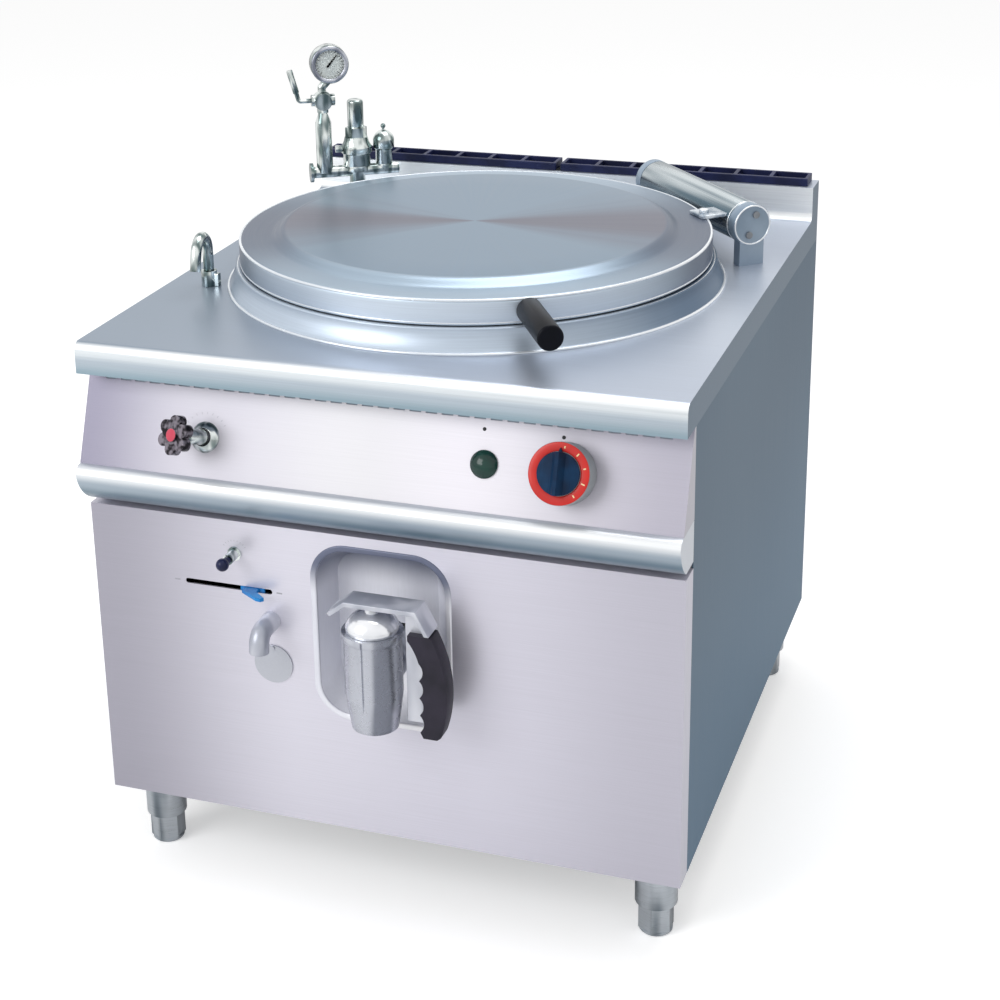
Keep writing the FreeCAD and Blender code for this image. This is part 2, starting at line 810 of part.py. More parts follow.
# Pressed recess behind the discharge tap
def recess_solid(grow, y0, y1):
    """The recess as a full solid whose walls stand out by grow."""
    front = rounded_outline(recess_left - grow, recess_right + grow, recess_bottom - grow,
                            recess_top + grow, recess_corner + grow, y0)
    back = rounded_outline(recess_back_left - grow, recess_back_right + grow, recess_back_bottom - grow,
                           recess_back_top + grow, recess_back_corner + grow, y1)
    return Part.makeLoft([front, back], True, True)


recess_back_y = window_front + recess_depth
recess = recess_solid(recess_sheet, window_front, recess_back_y + recess_sheet)
recess = recess.cut(recess_solid(0, window_front, recess_back_y))
recess = recess.cut(rod(V(tap_x, 0, drain_z), V(tap_x, recess_back_y + 10, drain_z), tap_boss_radius))
pieces["tap_recess"] = recess

# Discharge tap: body, turning plug, lever and grip
tap_base = V(tap_x, tap_y, 0)
outlet_radius = plug_bore + 1
body = turned([
    (outlet_radius, tap_bottom), (tap_bottom_radius, tap_bottom), (tap_radius, tap_taper_top),
    (tap_radius, tap_top - 12), (tap_lip_radius, tap_top - 8), (tap_lip_radius, tap_top),
    (plug_radius + running_gap, tap_top), (plug_radius + running_gap, plug_bottom - plug_head_gap),
    (outlet_radius, plug_bottom - plug_head_gap)], tap_base)
boss = rod(V(tap_x, tap_y + plug_radius + 2, drain_z), V(tap_x, tap_boss_back, drain_z), tap_boss_radius)
core = Part.makeCylinder(plug_radius + running_gap, 200, V(tap_x, tap_y, tap_bottom - 20))
body = body.fuse(boss.cut(core))
port_radius = drain_radius - drain_wall
body = body.cut(rod(V(tap_x, tap_y, drain_z), V(tap_x, tap_boss_back + 1, drain_z), port_radius))
slit_front = tap_y - tap_lip_radius - 1
body = body.cut(block(tap_x - tap_slit_width / 2, tap_x + tap_slit_width / 2, slit_front,
                      tap_y - tap_radius + tap_slit_depth, tap_slit_low, tap_top - 2))
pieces["tap_body"] = body

head_z = tap_top + plug_head_gap
plug = turned([
    (plug_bore, plug_bottom), (plug_radius, plug_bottom), (plug_radius, head_z),
    (plug_head_radius, head_z), (plug_head_radius, head_z + 6),
    ((plug_head_radius * 0.74, plug_dome_top - 5), (plug_stub_radius, plug_dome_top)),
    (plug_stub_radius, lever_plate_z), (0, lever_plate_z), (0, head_z), (plug_bore, head_z - 4)], tap_base)
plug = plug.cut(rod(V(tap_x, tap_y, drain_z), V(tap_x - 2 * plug_radius, tap_y, drain_z), port_radius))
pieces["tap_plug"] = plug

plate_top = lever_plate_z + lever_plate_thickness
plate = front_slab([
    (lever_left_x, lever_plate_z - lever_left_drop), (lever_knee_left_x, lever_plate_z),
    (lever_knee_right_x - 3, lever_plate_z), (lever_right_x - lever_plate_thickness, grip_top + 3),
    (lever_right_x, grip_top + 3), (lever_knee_right_x, plate_top),
    (lever_knee_left_x - 2, plate_top), (lever_left_x - 4, lever_plate_z - lever_left_drop + 4)],
    lever_plate_front, lever_plate_back)
arm_y = (lever_plate_front + lever_plate_back) / 2 - arm_thickness / 2
arm = front_slab([
    (arm_left, arm_bottom), (arm_right, arm_bottom), (arm_right, grip_top + 3),
    (lever_right_x - 1, grip_top + 3), (lever_knee_right_x - 1, plate_top - 1),
    (arm_left, lever_plate_z + 1)], arm_y, arm_y + arm_thickness)
pieces["tap_lever"] = joined([plate, arm])

finger_top = grip_bottom + 8 + grip_fingers * grip_finger_pitch
outline = [(grip_left_top, grip_top), (grip_right_top, grip_top),
           ((grip_right_belly, (grip_top + grip_bottom) / 2), (grip_right_bottom, grip_bottom + 4)),
           (grip_right_bottom - 5, grip_bottom), (grip_finger_x + 4, grip_bottom),
           (grip_finger_x, grip_bottom + 8)]
for i in range(grip_fingers):
    z = grip_bottom + 8 + (i + 0.5) * grip_finger_pitch
    outline.append(((grip_finger_x + grip_finger_depth, z), (grip_finger_x, z + grip_finger_pitch / 2)))
outline.append(((grip_finger_x - 5, finger_top + 14), (grip_left_top, grip_top - 8)))
grip_y = arm_y + arm_thickness / 2
grip = front_slab(outline, grip_y - handle_grip_thickness / 2, grip_y + handle_grip_thickness / 2)
pieces["tap_grip"] = grip.cut(arm)

# Lid: a double-skinned disc with a raised middle
lid_base = V(0, pot_y, 0)
r = lid_edge_round
k = r * (1 - sqrt(0.5))
lid_outer = [
    (0, lid_bottom), (lid_radius, lid_bottom), (lid_radius, lid_top - r),
    ((lid_radius - k, lid_top - k), (lid_radius - r, lid_top)),
    (lid_step_outer, lid_top), (lid_step_inner, lid_crown_top), (0, lid_crown_top)]
lid_inner = [
    (0, lid_bottom + lid_sheet), (lid_radius - lid_sheet, lid_bottom + lid_sheet),
    (lid_radius - lid_sheet, lid_top - r), (lid_radius - r, lid_top - lid_sheet),
    (lid_step_outer - 1, lid_top - lid_sheet), (lid_step_inner - 1, lid_crown_top - lid_sheet),
    (0, lid_crown_top - lid_sheet)]
pieces["lid_shell"] = turned(lid_outer, lid_base).cut(turned(lid_inner, lid_base))
pieces["lid_seal"] = turned([(seal_inner, pot_top + seal_gap), (seal_outer, pot_top + seal_gap),
                             (seal_outer, lid_bottom), (seal_inner, lid_bottom)], lid_base)

a = radians(handle_azimuth)
handle_way = V(cos(a), sin(a), 0)
handle_root = V(0, pot_y, handle_z) + handle_way * lid_radius
handle = turned([
    (handle_bore, 0), (handle_radius - 2, 0), (handle_radius, 2), (handle_radius, handle_length - 3),
    ((handle_radius - 1, handle_length - 1), (handle_radius - 3, handle_length)),
    (handle_bore, handle_length)], handle_root, handle_way)
stud = rod(handle_root - handle_way, handle_root + handle_way * handle_length, handle_bore)
handle_seat = Part.makeCylinder(lid_radius, 100, V(0, pot_y, lid_bottom - 20))
pieces["lid_handle"] = joined([handle, stud]).cut(handle_seat)

# Lid hinge: fixed end blocks and shaft, with the lid's tube turning on them
hinge_middle = V(0, pot_y, hinge_z) + hinge_out * hinge_distance


def on_hinge(along):
    """The point of the hinge axis that far from its middle, positive towards the front right."""
    return hinge_middle + hinge_axis * along


def hinge_block(t0, t1):
    """A round end block with its foot on the worktop."""
    disc = rod(on_hinge(t0), on_hinge(t1), hinge_radius)
    half = hinge_foot_width / 2
    base = on_hinge(t0) - hinge_out * half
    points = []
    for u, w in ((0, worktop_height - hinge_z), (hinge_foot_width, worktop_height - hinge_z),
                 (hinge_foot_width, 0), (0, 0)):
        points.append(base + hinge_out * u + Z * w)
    return joined([disc, slab(points, hinge_axis * (t1 - t0))])


blocks = [hinge_block(hinge_near - hinge_block_near, hinge_near),
          hinge_block(hinge_far, hinge_far + hinge_block_far)]
shaft = rod(on_hinge(hinge_far + 2), on_hinge(hinge_near - 4), hinge_shaft_radius)
pieces["hinge_supports"] = Part.Compound([b.cut(shaft) for b in blocks])
pieces["hinge_shaft"] = shaft

tube_low = hinge_far + hinge_block_far + hinge_end_gap
tube_high = hinge_near - hinge_block_near - hinge_end_gap
parts = [pipe(on_hinge(tube_low), on_hinge(tube_high), hinge_radius, hinge_radius - hinge_wall)]
for low in (tube_low, tube_high - hinge_bush):
    parts.append(pipe(on_hinge(low), on_hinge(low + hinge_bush), hinge_radius - hinge_wall / 2,
                      hinge_shaft_radius + hinge_running_gap))
pieces["hinge_tube"] = joined(parts)

# Bracket that bolts the tube to the lid: a flat tongue over the lid's edge and a web to the tube
tongue = []
for n, t in ((hinge_plate_inner, hinge_plate_high - 8), (hinge_plate_inner + 24, hinge_plate_low + 5),
             (hinge_distance, hinge_plate_low), (hinge_distance, tube_high - 4),
             (hinge_plate_inner + 70, hinge_plate_high - 70)):
    tongue.append(V(0, pot_y, lid_top) + hinge_out * n + hinge_axis * min(t, tube_high - 4))
bracket = slab(tongue, Z * hinge_plate_thickness)
tube_bore = rod(on_hinge(hinge_far), on_hinge(hinge_near), hinge_radius)
crown = turned([(0, lid_top - 1), (lid_step_outer + 2, lid_top - 1), (lid_step_inner + 2, lid_crown_top),
                (lid_step_inner + 2, lid_crown_top + 20), (0, lid_crown_top + 20)], lid_base)
pieces["lid_bracket"] = bracket.cut(tube_bore).cut(crown)

# Coil spring that balances the lid, round the shaft inside the tube
spring_start = tube_low + hinge_bush + spring_wire
spring_length = tube_high - tube_low - 2 * (hinge_bush + spring_wire)
helix = Part.makeHelix(spring_length / spring_turns, spring_length, spring_coil_radius)
coil = Part.Wire(Part.makeCircle(spring_wire / 2, V(spring_coil_radius, 0, 0), Y))
spring = Part.Wire(helix).makePipeShell([coil], True, True)
spring.Placement = FreeCAD.Placement(on_hinge(spring_start), FreeCAD.Rotation(Z, hinge_axis))
pieces["hinge_spring"] = spring

# Safety group: a bar on a riser, carrying the gauge with its cock, the relief valve and the vent
bar_ends = [on_bar(0, bar_z), on_bar(bar_length, bar_z)]
parts = [rod(bar_ends[0], bar_ends[1], bar_radius),
         rod(bar_ends[0], bar_ends[0] + bar_direction * bar_flange, bar_flange_radius),
         rod(steam_pipe_foot, on_bar(riser_at, bar_z), riser_radius),
         rod(steam_pipe_foot, steam_pipe_foot + Z * riser_flange, riser_flange_radius),
         rod(on_bar(gauge_pipe_at, bar_z), on_bar(gauge_pipe_at, gauge_pipe_top), gauge_pipe_radius),
         bent_rod([steam_pipe_foot, steam_pipe_at, steam_pipe_end],
                  riser_radius + 4, riser_radius)]
for along, radius in ((relief_at, relief_base_radius), (vent_at, vent_base_radius),
                      (gauge_pipe_at, gauge_pipe_radius + 2)):
    parts.append(rod(on_bar(along, bar_z), on_bar(along, bar_z + bar_radius), radius - 3))
manifold = joined(parts)
manifold = manifold.cut(jacket_solid)
steam_bore = rod(on_bar(riser_at, steam_pipe_z + riser_radius), on_bar(riser_at, bar_z), riser_radius - 3)
pieces["safety_manifold"] = manifold.cut(steam_bore)

cock_at = on_bar(gauge_pipe_at, cock_z)
gauge_at_point = on_bar(gauge_at, gauge_z)
cock_parts = [
    turned([(0, gauge_pipe_top), (gauge_pipe_radius, gauge_pipe_top), (gauge_neck_radius, gauge_neck_top),
            (gauge_neck_radius, cock_z), (0, cock_z)], on_bar(gauge_pipe_at, 0)),
    Part.makeSphere(cock_radius, cock_at),
    prism(6, gauge_neck_radius + 3, on_bar(gauge_pipe_at, gauge_neck_top), Z, 7),
    rod(cock_at - bar_direction * (cock_radius + 2), cock_at + bar_direction * (cock_radius + 4), 9),
    rod(cock_at, cock_at + bar_front * (cock_radius + 3), cock_bonnet_radius),
    rod(cock_at, on_bar(gauge_pipe_at, cock_top), gauge_neck_radius),
    Part.makeSphere(gauge_neck_radius, on_bar(gauge_pipe_at, cock_top)),
    rod(on_bar(gauge_pipe_at, cock_top), on_bar(gauge_at, gauge_z - gauge_radius + 6), gauge_neck_radius)]
cock_body = joined(cock_parts)
spindle_end = cock_at - bar_direction * cock_reach
spindle_hole = rod(cock_at - bar_direction * 6, spindle_end, cock_spindle_radius + running_gap)
case_solid = rod(gauge_at_point + bar_front * (gauge_depth / 2),
                 gauge_at_point - bar_front * (gauge_depth / 2),
                 gauge_radius)
pieces["gauge_cock"] = cock_body.cut(spindle_hole).cut(case_solid)

lean = radians(lever_lean)
lever_up = Z * cos(lean) - bar_direction * sin(lean)
pieces["cock_lever"] = joined([
    bent_rod([cock_at - bar_direction * 8, spindle_end, spindle_end + lever_up * lever_rise],
             cock_spindle_radius + 1, cock_spindle_radius),
    rod(spindle_end + lever_up * 14, spindle_end + lever_up * lever_rise, lever_radius + 1.5)])

# Gauge: case with its dial recess, glass, and needle on its pin
face_at = gauge_at_point + bar_front * (gauge_depth / 2)
dial_at_point = face_at - bar_front * gauge_dial_depth
glass_back = face_at - bar_front * (gauge_glass_thickness + 0.5)
case = case_solid.cut(rod(face_at, dial_at_point, gauge_radius - gauge_rim))
needle_hole = rod(dial_at_point, dial_at_point - bar_front * 6, needle_pin_radius + running_gap)
pieces["gauge_case"] = case.cut(needle_hole)
pieces["gauge_glass"] = rod(face_at - bar_front * 0.5, glass_back, gauge_radius - gauge_rim)
needle_at = dial_at_point + bar_front * 0.6
across = bar_direction
points = [needle_at - across * (needle_width / 2) - Z * 6, needle_at + across * (needle_width / 2) - Z * 6,
          needle_at + across * (needle_width / 4) + Z * needle_length,
          needle_at - across * (needle_width / 4) + Z * needle_length]
needle = slab(points, bar_front * needle_thickness)
needle.rotate(needle_at, bar_front, needle_rest_turn)
pin = rod(dial_at_point - bar_front * 5, needle_at + bar_front * needle_thickness, needle_pin_radius)
pieces["gauge_needle"] = joined([needle, pin])

# Relief valve: body, and the cap that lifts off its seat
relief = turned([
    (0, bar_z + bar_radius), (relief_base_radius, bar_z + bar_radius),
    (relief_base_radius, relief_base_top), (relief_bell_radius, relief_base_top + 2),
    (relief_bell_radius, relief_bell_top - 5),
    ((relief_bell_radius - 3, relief_bell_top), (relief_hex_radius + 1, relief_neck_bottom)),
    (0, relief_neck_bottom)], on_bar(relief_at, 0))
relief_hex = prism(6, relief_hex_radius, on_bar(relief_at, relief_neck_bottom - 4), Z,
                   relief_neck_top - relief_neck_bottom + 4, bar_heading)
relief_side = rod(on_bar(relief_at - relief_bell_radius - 9, relief_base_top + 8),
                  on_bar(relief_at, relief_base_top + 8), relief_side_radius)
relief_body = joined([relief, relief_hex, relief_side])
relief_bore = rod(on_bar(relief_at, relief_neck_bottom - 12), on_bar(relief_at, relief_neck_top + 1),
                  relief_pin_radius + running_gap)
pieces["relief_valve"] = relief_body.cut(relief_bore)
pieces["relief_cap"] = turned([
    (0, relief_neck_bottom - 10), (relief_pin_radius, relief_neck_bottom - 10),
    (relief_pin_radius, relief_neck_top), (relief_cap_radius, relief_neck_top),
    (relief_cap_radius, relief_cap_top - 4),
    ((relief_cap_radius - 1.5, relief_cap_top - 1), (relief_cap_radius - 5, relief_cap_top)),
    (0, relief_cap_top)], on_bar(relief_at, 0))

# Vent valve with its domed cap and ball
vent = turned([
    (0, bar_z + bar_radius), (vent_base_radius, bar_z + bar_radius), (vent_base_radius, vent_base_top),
    (vent_body_radius, vent_base_top + 3), (vent_body_radius, vent_body_top),
    ((vent_body_radius * 0.72, vent_dome_top - 5), (2, vent_dome_top)),
    (2, vent_dome_top + 3), (0, vent_dome_top + 3)], on_bar(vent_at, 0))
ball = Part.makeSphere(vent_ball_radius, on_bar(vent_at, vent_dome_top + 3 + vent_ball_radius - 1))
pieces["vent_valve"] = joined([vent, ball])

# Filling spout, swivelling in its base
spout_axis_top = worktop_height + spout_base_height
base = turned([
    (0, worktop_height - 14), (spout_tenon_radius, worktop_height - 14),
    (spout_tenon_radius, worktop_height), (spout_base_radius, worktop_height),
    (spout_base_radius, spout_axis_top), (0, spout_axis_top)], V(spout_x, spout_y, 0))
lug = block(spout_x + spout_base_radius - 2, spout_x + spout_base_radius + spout_lug / 2,
            spout_y - spout_lug / 2, spout_y + spout_lug / 2, worktop_height, spout_axis_top - 4)
socket_low = spout_axis_top - 14
base = joined([base, lug])
base = base.cut(rod(V(spout_x, spout_y, socket_low), V(spout_x, spout_y, spout_axis_top + 1),
                    spout_tenon_radius + running_gap))
pieces["spout_base"] = base.cut(rod(V(spout_x, spout_y, worktop_height - 15),
                                    V(spout_x, spout_y, socket_low + 1), spout_tenon_radius - 2))
forward = V(sin(radians(spout_heading)), -cos(radians(spout_heading)), 0)
leg_low = V(spout_x, spout_y, spout_axis_top + spout_gap)
arc_centre = V(spout_x, spout_y, spout_leg_top) + forward * spout_bend
turn_points = []
for part in (1.0, 0.5, 0.0):
    a = radians(180 - spout_turn * part)
    turn_points.append(arc_centre + forward * (spout_bend * cos(a)) + Z * (spout_bend * sin(a)))
arc_end = turn_points[0]
a = radians(180 - spout_turn)
tail_way = (forward * sin(a) - Z * cos(a)).normalize()
route = Part.Wire([
    Part.makeLine(leg_low, turn_points[2]),
    Part.Arc(turn_points[2], turn_points[1], turn_points[0]).toShape(),
    Part.makeLine(arc_end, arc_end + tail_way * spout_tail)])
tube = route.makePipeShell([Part.Wire(Part.makeCircle(spout_radius, leg_low, Z))], True, False)
bore = route.makePipeShell([Part.Wire(Part.makeCircle(spout_radius - spout_wall, leg_low, Z))], True, False)
tenon = pipe(V(spout_x, spout_y, socket_low + 0.5), leg_low + Z * 2, spout_tenon_radius,
             spout_tenon_radius - 2)
shoulder = pipe(leg_low, leg_low + Z * 2, spout_radius, spout_tenon_radius - 2)
pieces["filling_spout"] = joined([tube.cut(bore), tenon, shoulder])

# Inlet tap on the control panel, its spindle turned a little to the left
tilt = radians(inlet_tilt)
inlet_way = (panel_normal * cos(tilt) - X * sin(tilt)).normalize()
flange = turned([(0, 0), (inlet_flange_radius, 0), (inlet_flange_radius - 2, 3),
                 (inlet_neck_radius + 2, 9), (0, 9)], inlet_at, panel_normal)
neck = rod(inlet_at + inlet_way * 2, inlet_at + inlet_way * inlet_neck_length, inlet_neck_radius)
behind = rod(inlet_at - panel_normal * valve_body_length, inlet_at + panel_normal * 1, valve_body_radius)
nut = prism(6, valve_body_radius + 5, inlet_at - panel_normal * (panel_sheet + 8), panel_normal, 8)
inlet_solid = joined([flange, neck, behind, nut])
spindle_hole = rod(inlet_at + inlet_way * 12, inlet_at + inlet_way * (inlet_neck_length + 1),
                   inlet_spindle_radius + running_gap)
pieces["inlet_valve"] = inlet_solid.cut(spindle_hole)
knob_parts = [rod(inlet_at + inlet_way * 14, inlet_at + inlet_way * inlet_knob_front, inlet_spindle_radius),
              rod(inlet_at + inlet_way * inlet_knob_back, inlet_at + inlet_way * inlet_knob_front,
                  inlet_knob_core),
              rod(inlet_at + inlet_way * inlet_knob_back,
                  inlet_at + inlet_way * (inlet_knob_front + inlet_cap_height), inlet_cap_radius)]
side_way = inlet_way.cross(Z).normalize()
up_way = side_way.cross(inlet_way).normalize()
for i in range(inlet_knob_lobes):
    a = 2 * pi * (i + 0.5) / inlet_knob_lobes
    off = side_way * (inlet_lobe_circle * cos(a)) + up_way * (inlet_lobe_circle * sin(a))
    knob_parts.append(rod(inlet_at + off + inlet_way * inlet_knob_back,
                          inlet_at + off + inlet_way * inlet_knob_front, inlet_lobe_radius))
pieces["inlet_knob"] = joined(knob_parts)

# Signal lamp
dome_rise = lamp_dome - lamp_rim
dome_radius = (lamp_radius ** 2 + dome_rise ** 2) / (2 * dome_rise)
half_out = lamp_radius * 0.55
half_up = lamp_dome - dome_radius + sqrt(dome_radius ** 2 - half_out ** 2)
lamp = turned([
    (0, 0), (lamp_radius, 0), (lamp_radius, lamp_rim),
    ((half_out, half_up), (0, lamp_dome))], lamp_at, panel_normal)
stem = rod(lamp_at - panel_normal * lamp_stem_length, lamp_at + panel_normal, lamp_stem_radius)
pieces["signal_lamp"] = joined([lamp, stem])

# Energy knob: hollow skirt with its spindle, and the grip set in its face
def from_dial(height):
    """The point on the knob's axis, that far out from the panel."""
    return dial_at + panel_normal * height


skirt = turned([
    (dial_radius - dial_wall, dial_gap), (dial_radius, dial_gap), (dial_radius, dial_height - 1),
    (dial_radius - 1, dial_height), (0, dial_height), (0, dial_height - dial_wall),
    (dial_radius - dial_wall, dial_height - dial_wall)], dial_at, panel_normal)
hub = rod(from_dial(dial_gap), from_dial(dial_height - 1), dial_spindle_radius + 4)
spindle = rod(from_dial(-20), from_dial(dial_height - 1), dial_spindle_radius)
pieces["knob_skirt"] = joined([skirt, hub, spindle])
round_grip = rod(from_dial(dial_height), from_dial(dial_height + grip_height), grip_radius)
dial_up = X.cross(panel_normal).normalize()
if dial_up.z < 0:
    dial_up = dial_up * -1
bar_points = []
for u, w in ((-grip_radius - 5, 0), (grip_radius + 5, 0), (grip_radius + 5, grip_disc),
             (grip_bar_half, grip_disc + 2), (2, grip_height), (-2, grip_height),
             (-grip_bar_half, grip_disc + 2), (-grip_radius - 5, grip_disc)):
    bar_points.append(from_dial(dial_height + w) + X * u - dial_up * (grip_radius + 5))
wedge = slab(bar_points, dial_up * (2 * grip_radius + 10))
tip = from_dial(dial_height)
nib = slab([tip + dial_up * (grip_radius - 3) - X * 3.5, tip + dial_up * (grip_radius - 3) + X * 3.5,
            tip + dial_up * (grip_radius + 5)], panel_normal * grip_disc)
pieces["knob_grip"] = joined([round_grip.common(wedge), nib])

# Gas valve behind the energy knob, and its pipes to the burner and to the rear inlet
valve_back = from_dial(-panel_sheet - valve_body_length)
gas_body = rod(from_dial(-panel_sheet), valve_back, gas_valve_radius)
pieces["gas_valve"] = gas_body.cut(rod(from_dial(0), from_dial(-24), dial_spindle_radius + running_gap))
to_burner = bent_rod([
    valve_back, V(dial_x, gas_drop_y, valve_back.z), V(dial_x, gas_drop_y, burner_z),
    V(dial_x, pot_y, burner_z), V(burner_ring_radius, pot_y, burner_z)], pipe_bend, gas_pipe_radius)
burner_feed = to_burner
valve_middle = from_dial(-valve_body_length / 2)
gas_in = bent_rod([
    valve_middle, V(rear_inlet_x, valve_middle.y, valve_middle.z),
    V(rear_inlet_x, gas_drop_y + 30, valve_middle.z), V(rear_inlet_x, gas_drop_y + 30, pipe_run_z),
    V(rear_inlet_x, rear_inlet_y, pipe_run_z), V(rear_inlet_x, rear_inlet_y, inlet_end_z)],
    pipe_bend, gas_pipe_radius)
ring_solid = Part.makeTorus(burner_ring_radius, burner_pipe_radius, burner_at)
to_burner = to_burner.cut(gas_body).cut(ring_solid)
gas_union_top = V(rear_inlet_x, rear_inlet_y, inlet_end_z + union_length)
gas_in = joined([gas_in.cut(gas_body), rod(V(rear_inlet_x, rear_inlet_y, inlet_end_z), gas_union_top,
                                           gas_pipe_radius + union_wall)])
pieces["gas_pipe"] = Part.Compound([to_burner, gas_in])
pieces["burner"] = burner
chamber = chamber.cut(burner_feed)
pieces["combustion_chamber"] = chamber
duct = duct_outer.cut(duct_inner)
pieces["flue_duct"] = duct.cut(block(-neck_half + flue_wall, neck_half - flue_wall, flue_front_y - 5,
                                     neck_back + 1, flue_neck_low + flue_wall, flue_neck_high - flue_wall))

# Water pipes from the rear inlet to the tap, and from the tap up to the spout
valve_tail = inlet_at - panel_normal * (valve_body_length - 12)
water_x = -rear_inlet_x
water_in = bent_rod([
    valve_tail, V(water_x, valve_tail.y, valve_tail.z), V(water_x, gas_drop_y + 30, valve_tail.z),
    V(water_x, gas_drop_y + 30, pipe_run_z), V(water_x, rear_inlet_y, pipe_run_z),
    V(water_x, rear_inlet_y, inlet_end_z)], pipe_bend, water_pipe_radius)
valve_side = inlet_at - panel_normal * (valve_body_length - 2)
water_out = bent_rod([
    valve_side, V(inlet_x, valve_side.y + 40, valve_side.z),
    V(inlet_x, valve_side.y + 40, valve_side.z + 50),
    V(spout_x, valve_side.y + 40, valve_side.z + 50), V(spout_x, spout_y, valve_side.z + 50),
    V(spout_x, spout_y, worktop_height - 14)], pipe_bend, water_pipe_radius)
water_union = rod(V(water_x, rear_inlet_y, inlet_end_z),
                  V(water_x, rear_inlet_y, inlet_end_z + union_length),
                  water_pipe_radius + union_wall)
water_in = joined([water_in.cut(inlet_solid), water_union])
pieces["water_pipe"] = Part.Compound([water_in, water_out.cut(inlet_solid)])

# Floor holes for the two rear inlets
for x, radius in ((rear_inlet_x, gas_pipe_radius), (water_x, water_pipe_radius)):
    hole = rod(V(x, rear_inlet_y, floor_height - 5), V(x, rear_inlet_y, floor_height + 5), radius)
    pieces["base_frame"] = pieces["base_frame"].cut(hole)

# Level tap
def at_level(y):
    """The point on the level tap's axis at that y."""
    return V(level_x, y, level_z)


valve = joined([
    rod(at_level(lower_panel_y), at_level(lower_panel_y - 3), level_flange_radius),
    rod(at_level(lower_panel_y), at_level(level_neck_front), level_neck_radius),
    rod(at_level(level_body_back), at_level(lower_panel_y), level_body_radius),
    prism(6, level_body_radius + 4, at_level(window_front), Y, 6)])
pieces["level_valve"] = valve.cut(rod(at_level(level_neck_front - 1), at_level(lower_panel_y + 10),
                                      level_stem_radius + running_gap))
pieces["level_knob"] = joined([
    Part.makeSphere(level_ball_radius, at_level(level_ball_y)),
    rod(at_level(level_ball_y), at_level(lower_panel_y + 9), level_stem_radius),
    rod(at_level(level_ball_y + 4), at_level(level_neck_front - 0.3), level_stem_radius + 1.5)])

# Slide lever with its shoe behind the panel, between two rails welded to the panel
blade_points = []
for x, y in ((blade_root_x - blade_root_half, 0), (blade_root_x + blade_root_half, 0),
             (blade_tip_x + blade_tip_half, blade_tip_y + 4),
             (blade_tip_x + blade_tip_half - 4, blade_tip_y),
             (blade_tip_x - blade_tip_half, blade_tip_y + 1)):
    blade_points.append(V(x, y, slot_z - blade_thickness / 2))
blade_low = slab(blade_points, V(0, 0, blade_thickness))
blade_stem = block(blade_root_x - blade_root_half, blade_root_x + blade_root_half, -0.5,
                   window_front + shoe_gap + 1, slot_z - blade_thickness / 2, slot_z + blade_thickness / 2)
shoe_y = window_front + shoe_gap
shoe = block(blade_root_x - shoe_half_width, blade_root_x + shoe_half_width, shoe_y,
             shoe_y + shoe_thickness, slot_z - shoe_half_height, slot_z + shoe_half_height)
pieces["slide_lever"] = joined([blade_low, blade_stem, shoe])
rail_out_y = shoe_y + shoe_thickness + shoe_gap
rails = [pieces["lower_panel"]]
for side in (-1, 1):
    near = slot_z + side * (shoe_half_height + shoe_gap)
    far = near + side * 3
    lip = near - side * 3
    rails.append(block(slot_left - 12, slot_right + 12, window_front, rail_out_y + rail_wall,
                       min(near, far), max(near, far)))
    rails.append(block(slot_left - 12, slot_right + 12, rail_out_y, rail_out_y + rail_wall,
                       min(lip, far), max(lip, far)))
pieces["lower_panel"] = joined(rails)

# Overflow elbow
pieces["overflow_elbow"] = bent_pipe([
    V(overflow_x, overflow_back_y, overflow_z), V(overflow_x, lower_panel_y - overflow_reach, overflow_z),
    V(overflow_x, lower_panel_y - overflow_reach - 2, overflow_mouth_z)],
    overflow_bend, overflow_radius, overflow_wall)

# Cover that swings off the flame window on its pin
cover_back = lower_panel_y - window_gap
cover = rod(V(window_x, cover_back, window_z), V(window_x, cover_back - window_cover_thickness, window_z),
            window_cover_radius)
cover_front = cover_back - window_cover_thickness
pin_shank = rod(V(window_x, cover_front, window_pin_z), V(window_x, window_front + 6, window_pin_z),
                window_pin_radius)
pin_head = rod(V(window_x, cover_back, window_pin_z), V(window_x, cover_front - 2, window_pin_z),
               window_pin_head)
pieces["window_cover"] = joined([cover, pin_head, pin_shank])

# Cast flue grids
def flue_grid(x0):
    """One cast grid with its row of openings."""
    y0 = flue_back_y + 4 - grid_depth
    grid = block(x0, x0 + grid_length, y0, y0 + grid_depth, upstand_top, upstand_top + grid_height)
    clear = grid_length - 2 * grid_wall - (grid_openings - 1) * grid_bar
    opening = clear / grid_openings
    for i in range(grid_openings):
        left = x0 + grid_wall + i * (opening + grid_bar)
        grid = grid.cut(block(left, left + opening, y0 + grid_wall, y0 + grid_depth - grid_wall,
                              upstand_top - 1, upstand_top + grid_height + 1))
    return grid


pieces["flue_grids"] = Part.Compound([flue_grid(-grid_gap / 2 - grid_length), flue_grid(grid_gap / 2)])

# Screws: the hinge cap's two, and those of the side panels
def screw(at, way):
    """A cheese-head screw whose shank runs into the piece against way."""
    return joined([rod(at, at + way * screw_head, screw_head_radius),
                   rod(at - way * screw_length, at, screw_radius)])


screws = []
for side in (-1, 1):
    at = on_hinge(hinge_near) + (hinge_out * 0.35 + Z * 0.94) * (side * 15)
    screws.append(screw(at, hinge_axis))
for name in ("hinge_supports",):
    holed = pieces[name]
    for s in screws:
        holed = holed.cut(s)
    pieces[name] = holed
pieces["hinge_screws"] = Part.Compound(screws)

# Everything is moved so that the origin lies under the middle of the whole object, on the floor
front_most = tap_y - tap_lip_radius
middle_y = (front_most + cabinet_depth) / 2
os.makedirs("parts", exist_ok=True)
for name, shape in pieces.items():
    placed = shape.copy()
    placed.translate(V(0, -middle_y, 0))
    placed.exportStep("parts/" + name + ".step")
    solids = len(placed.Solids)
    print(name, solids, "valid" if placed.isValid() else "NOT VALID", round(placed.Volume))
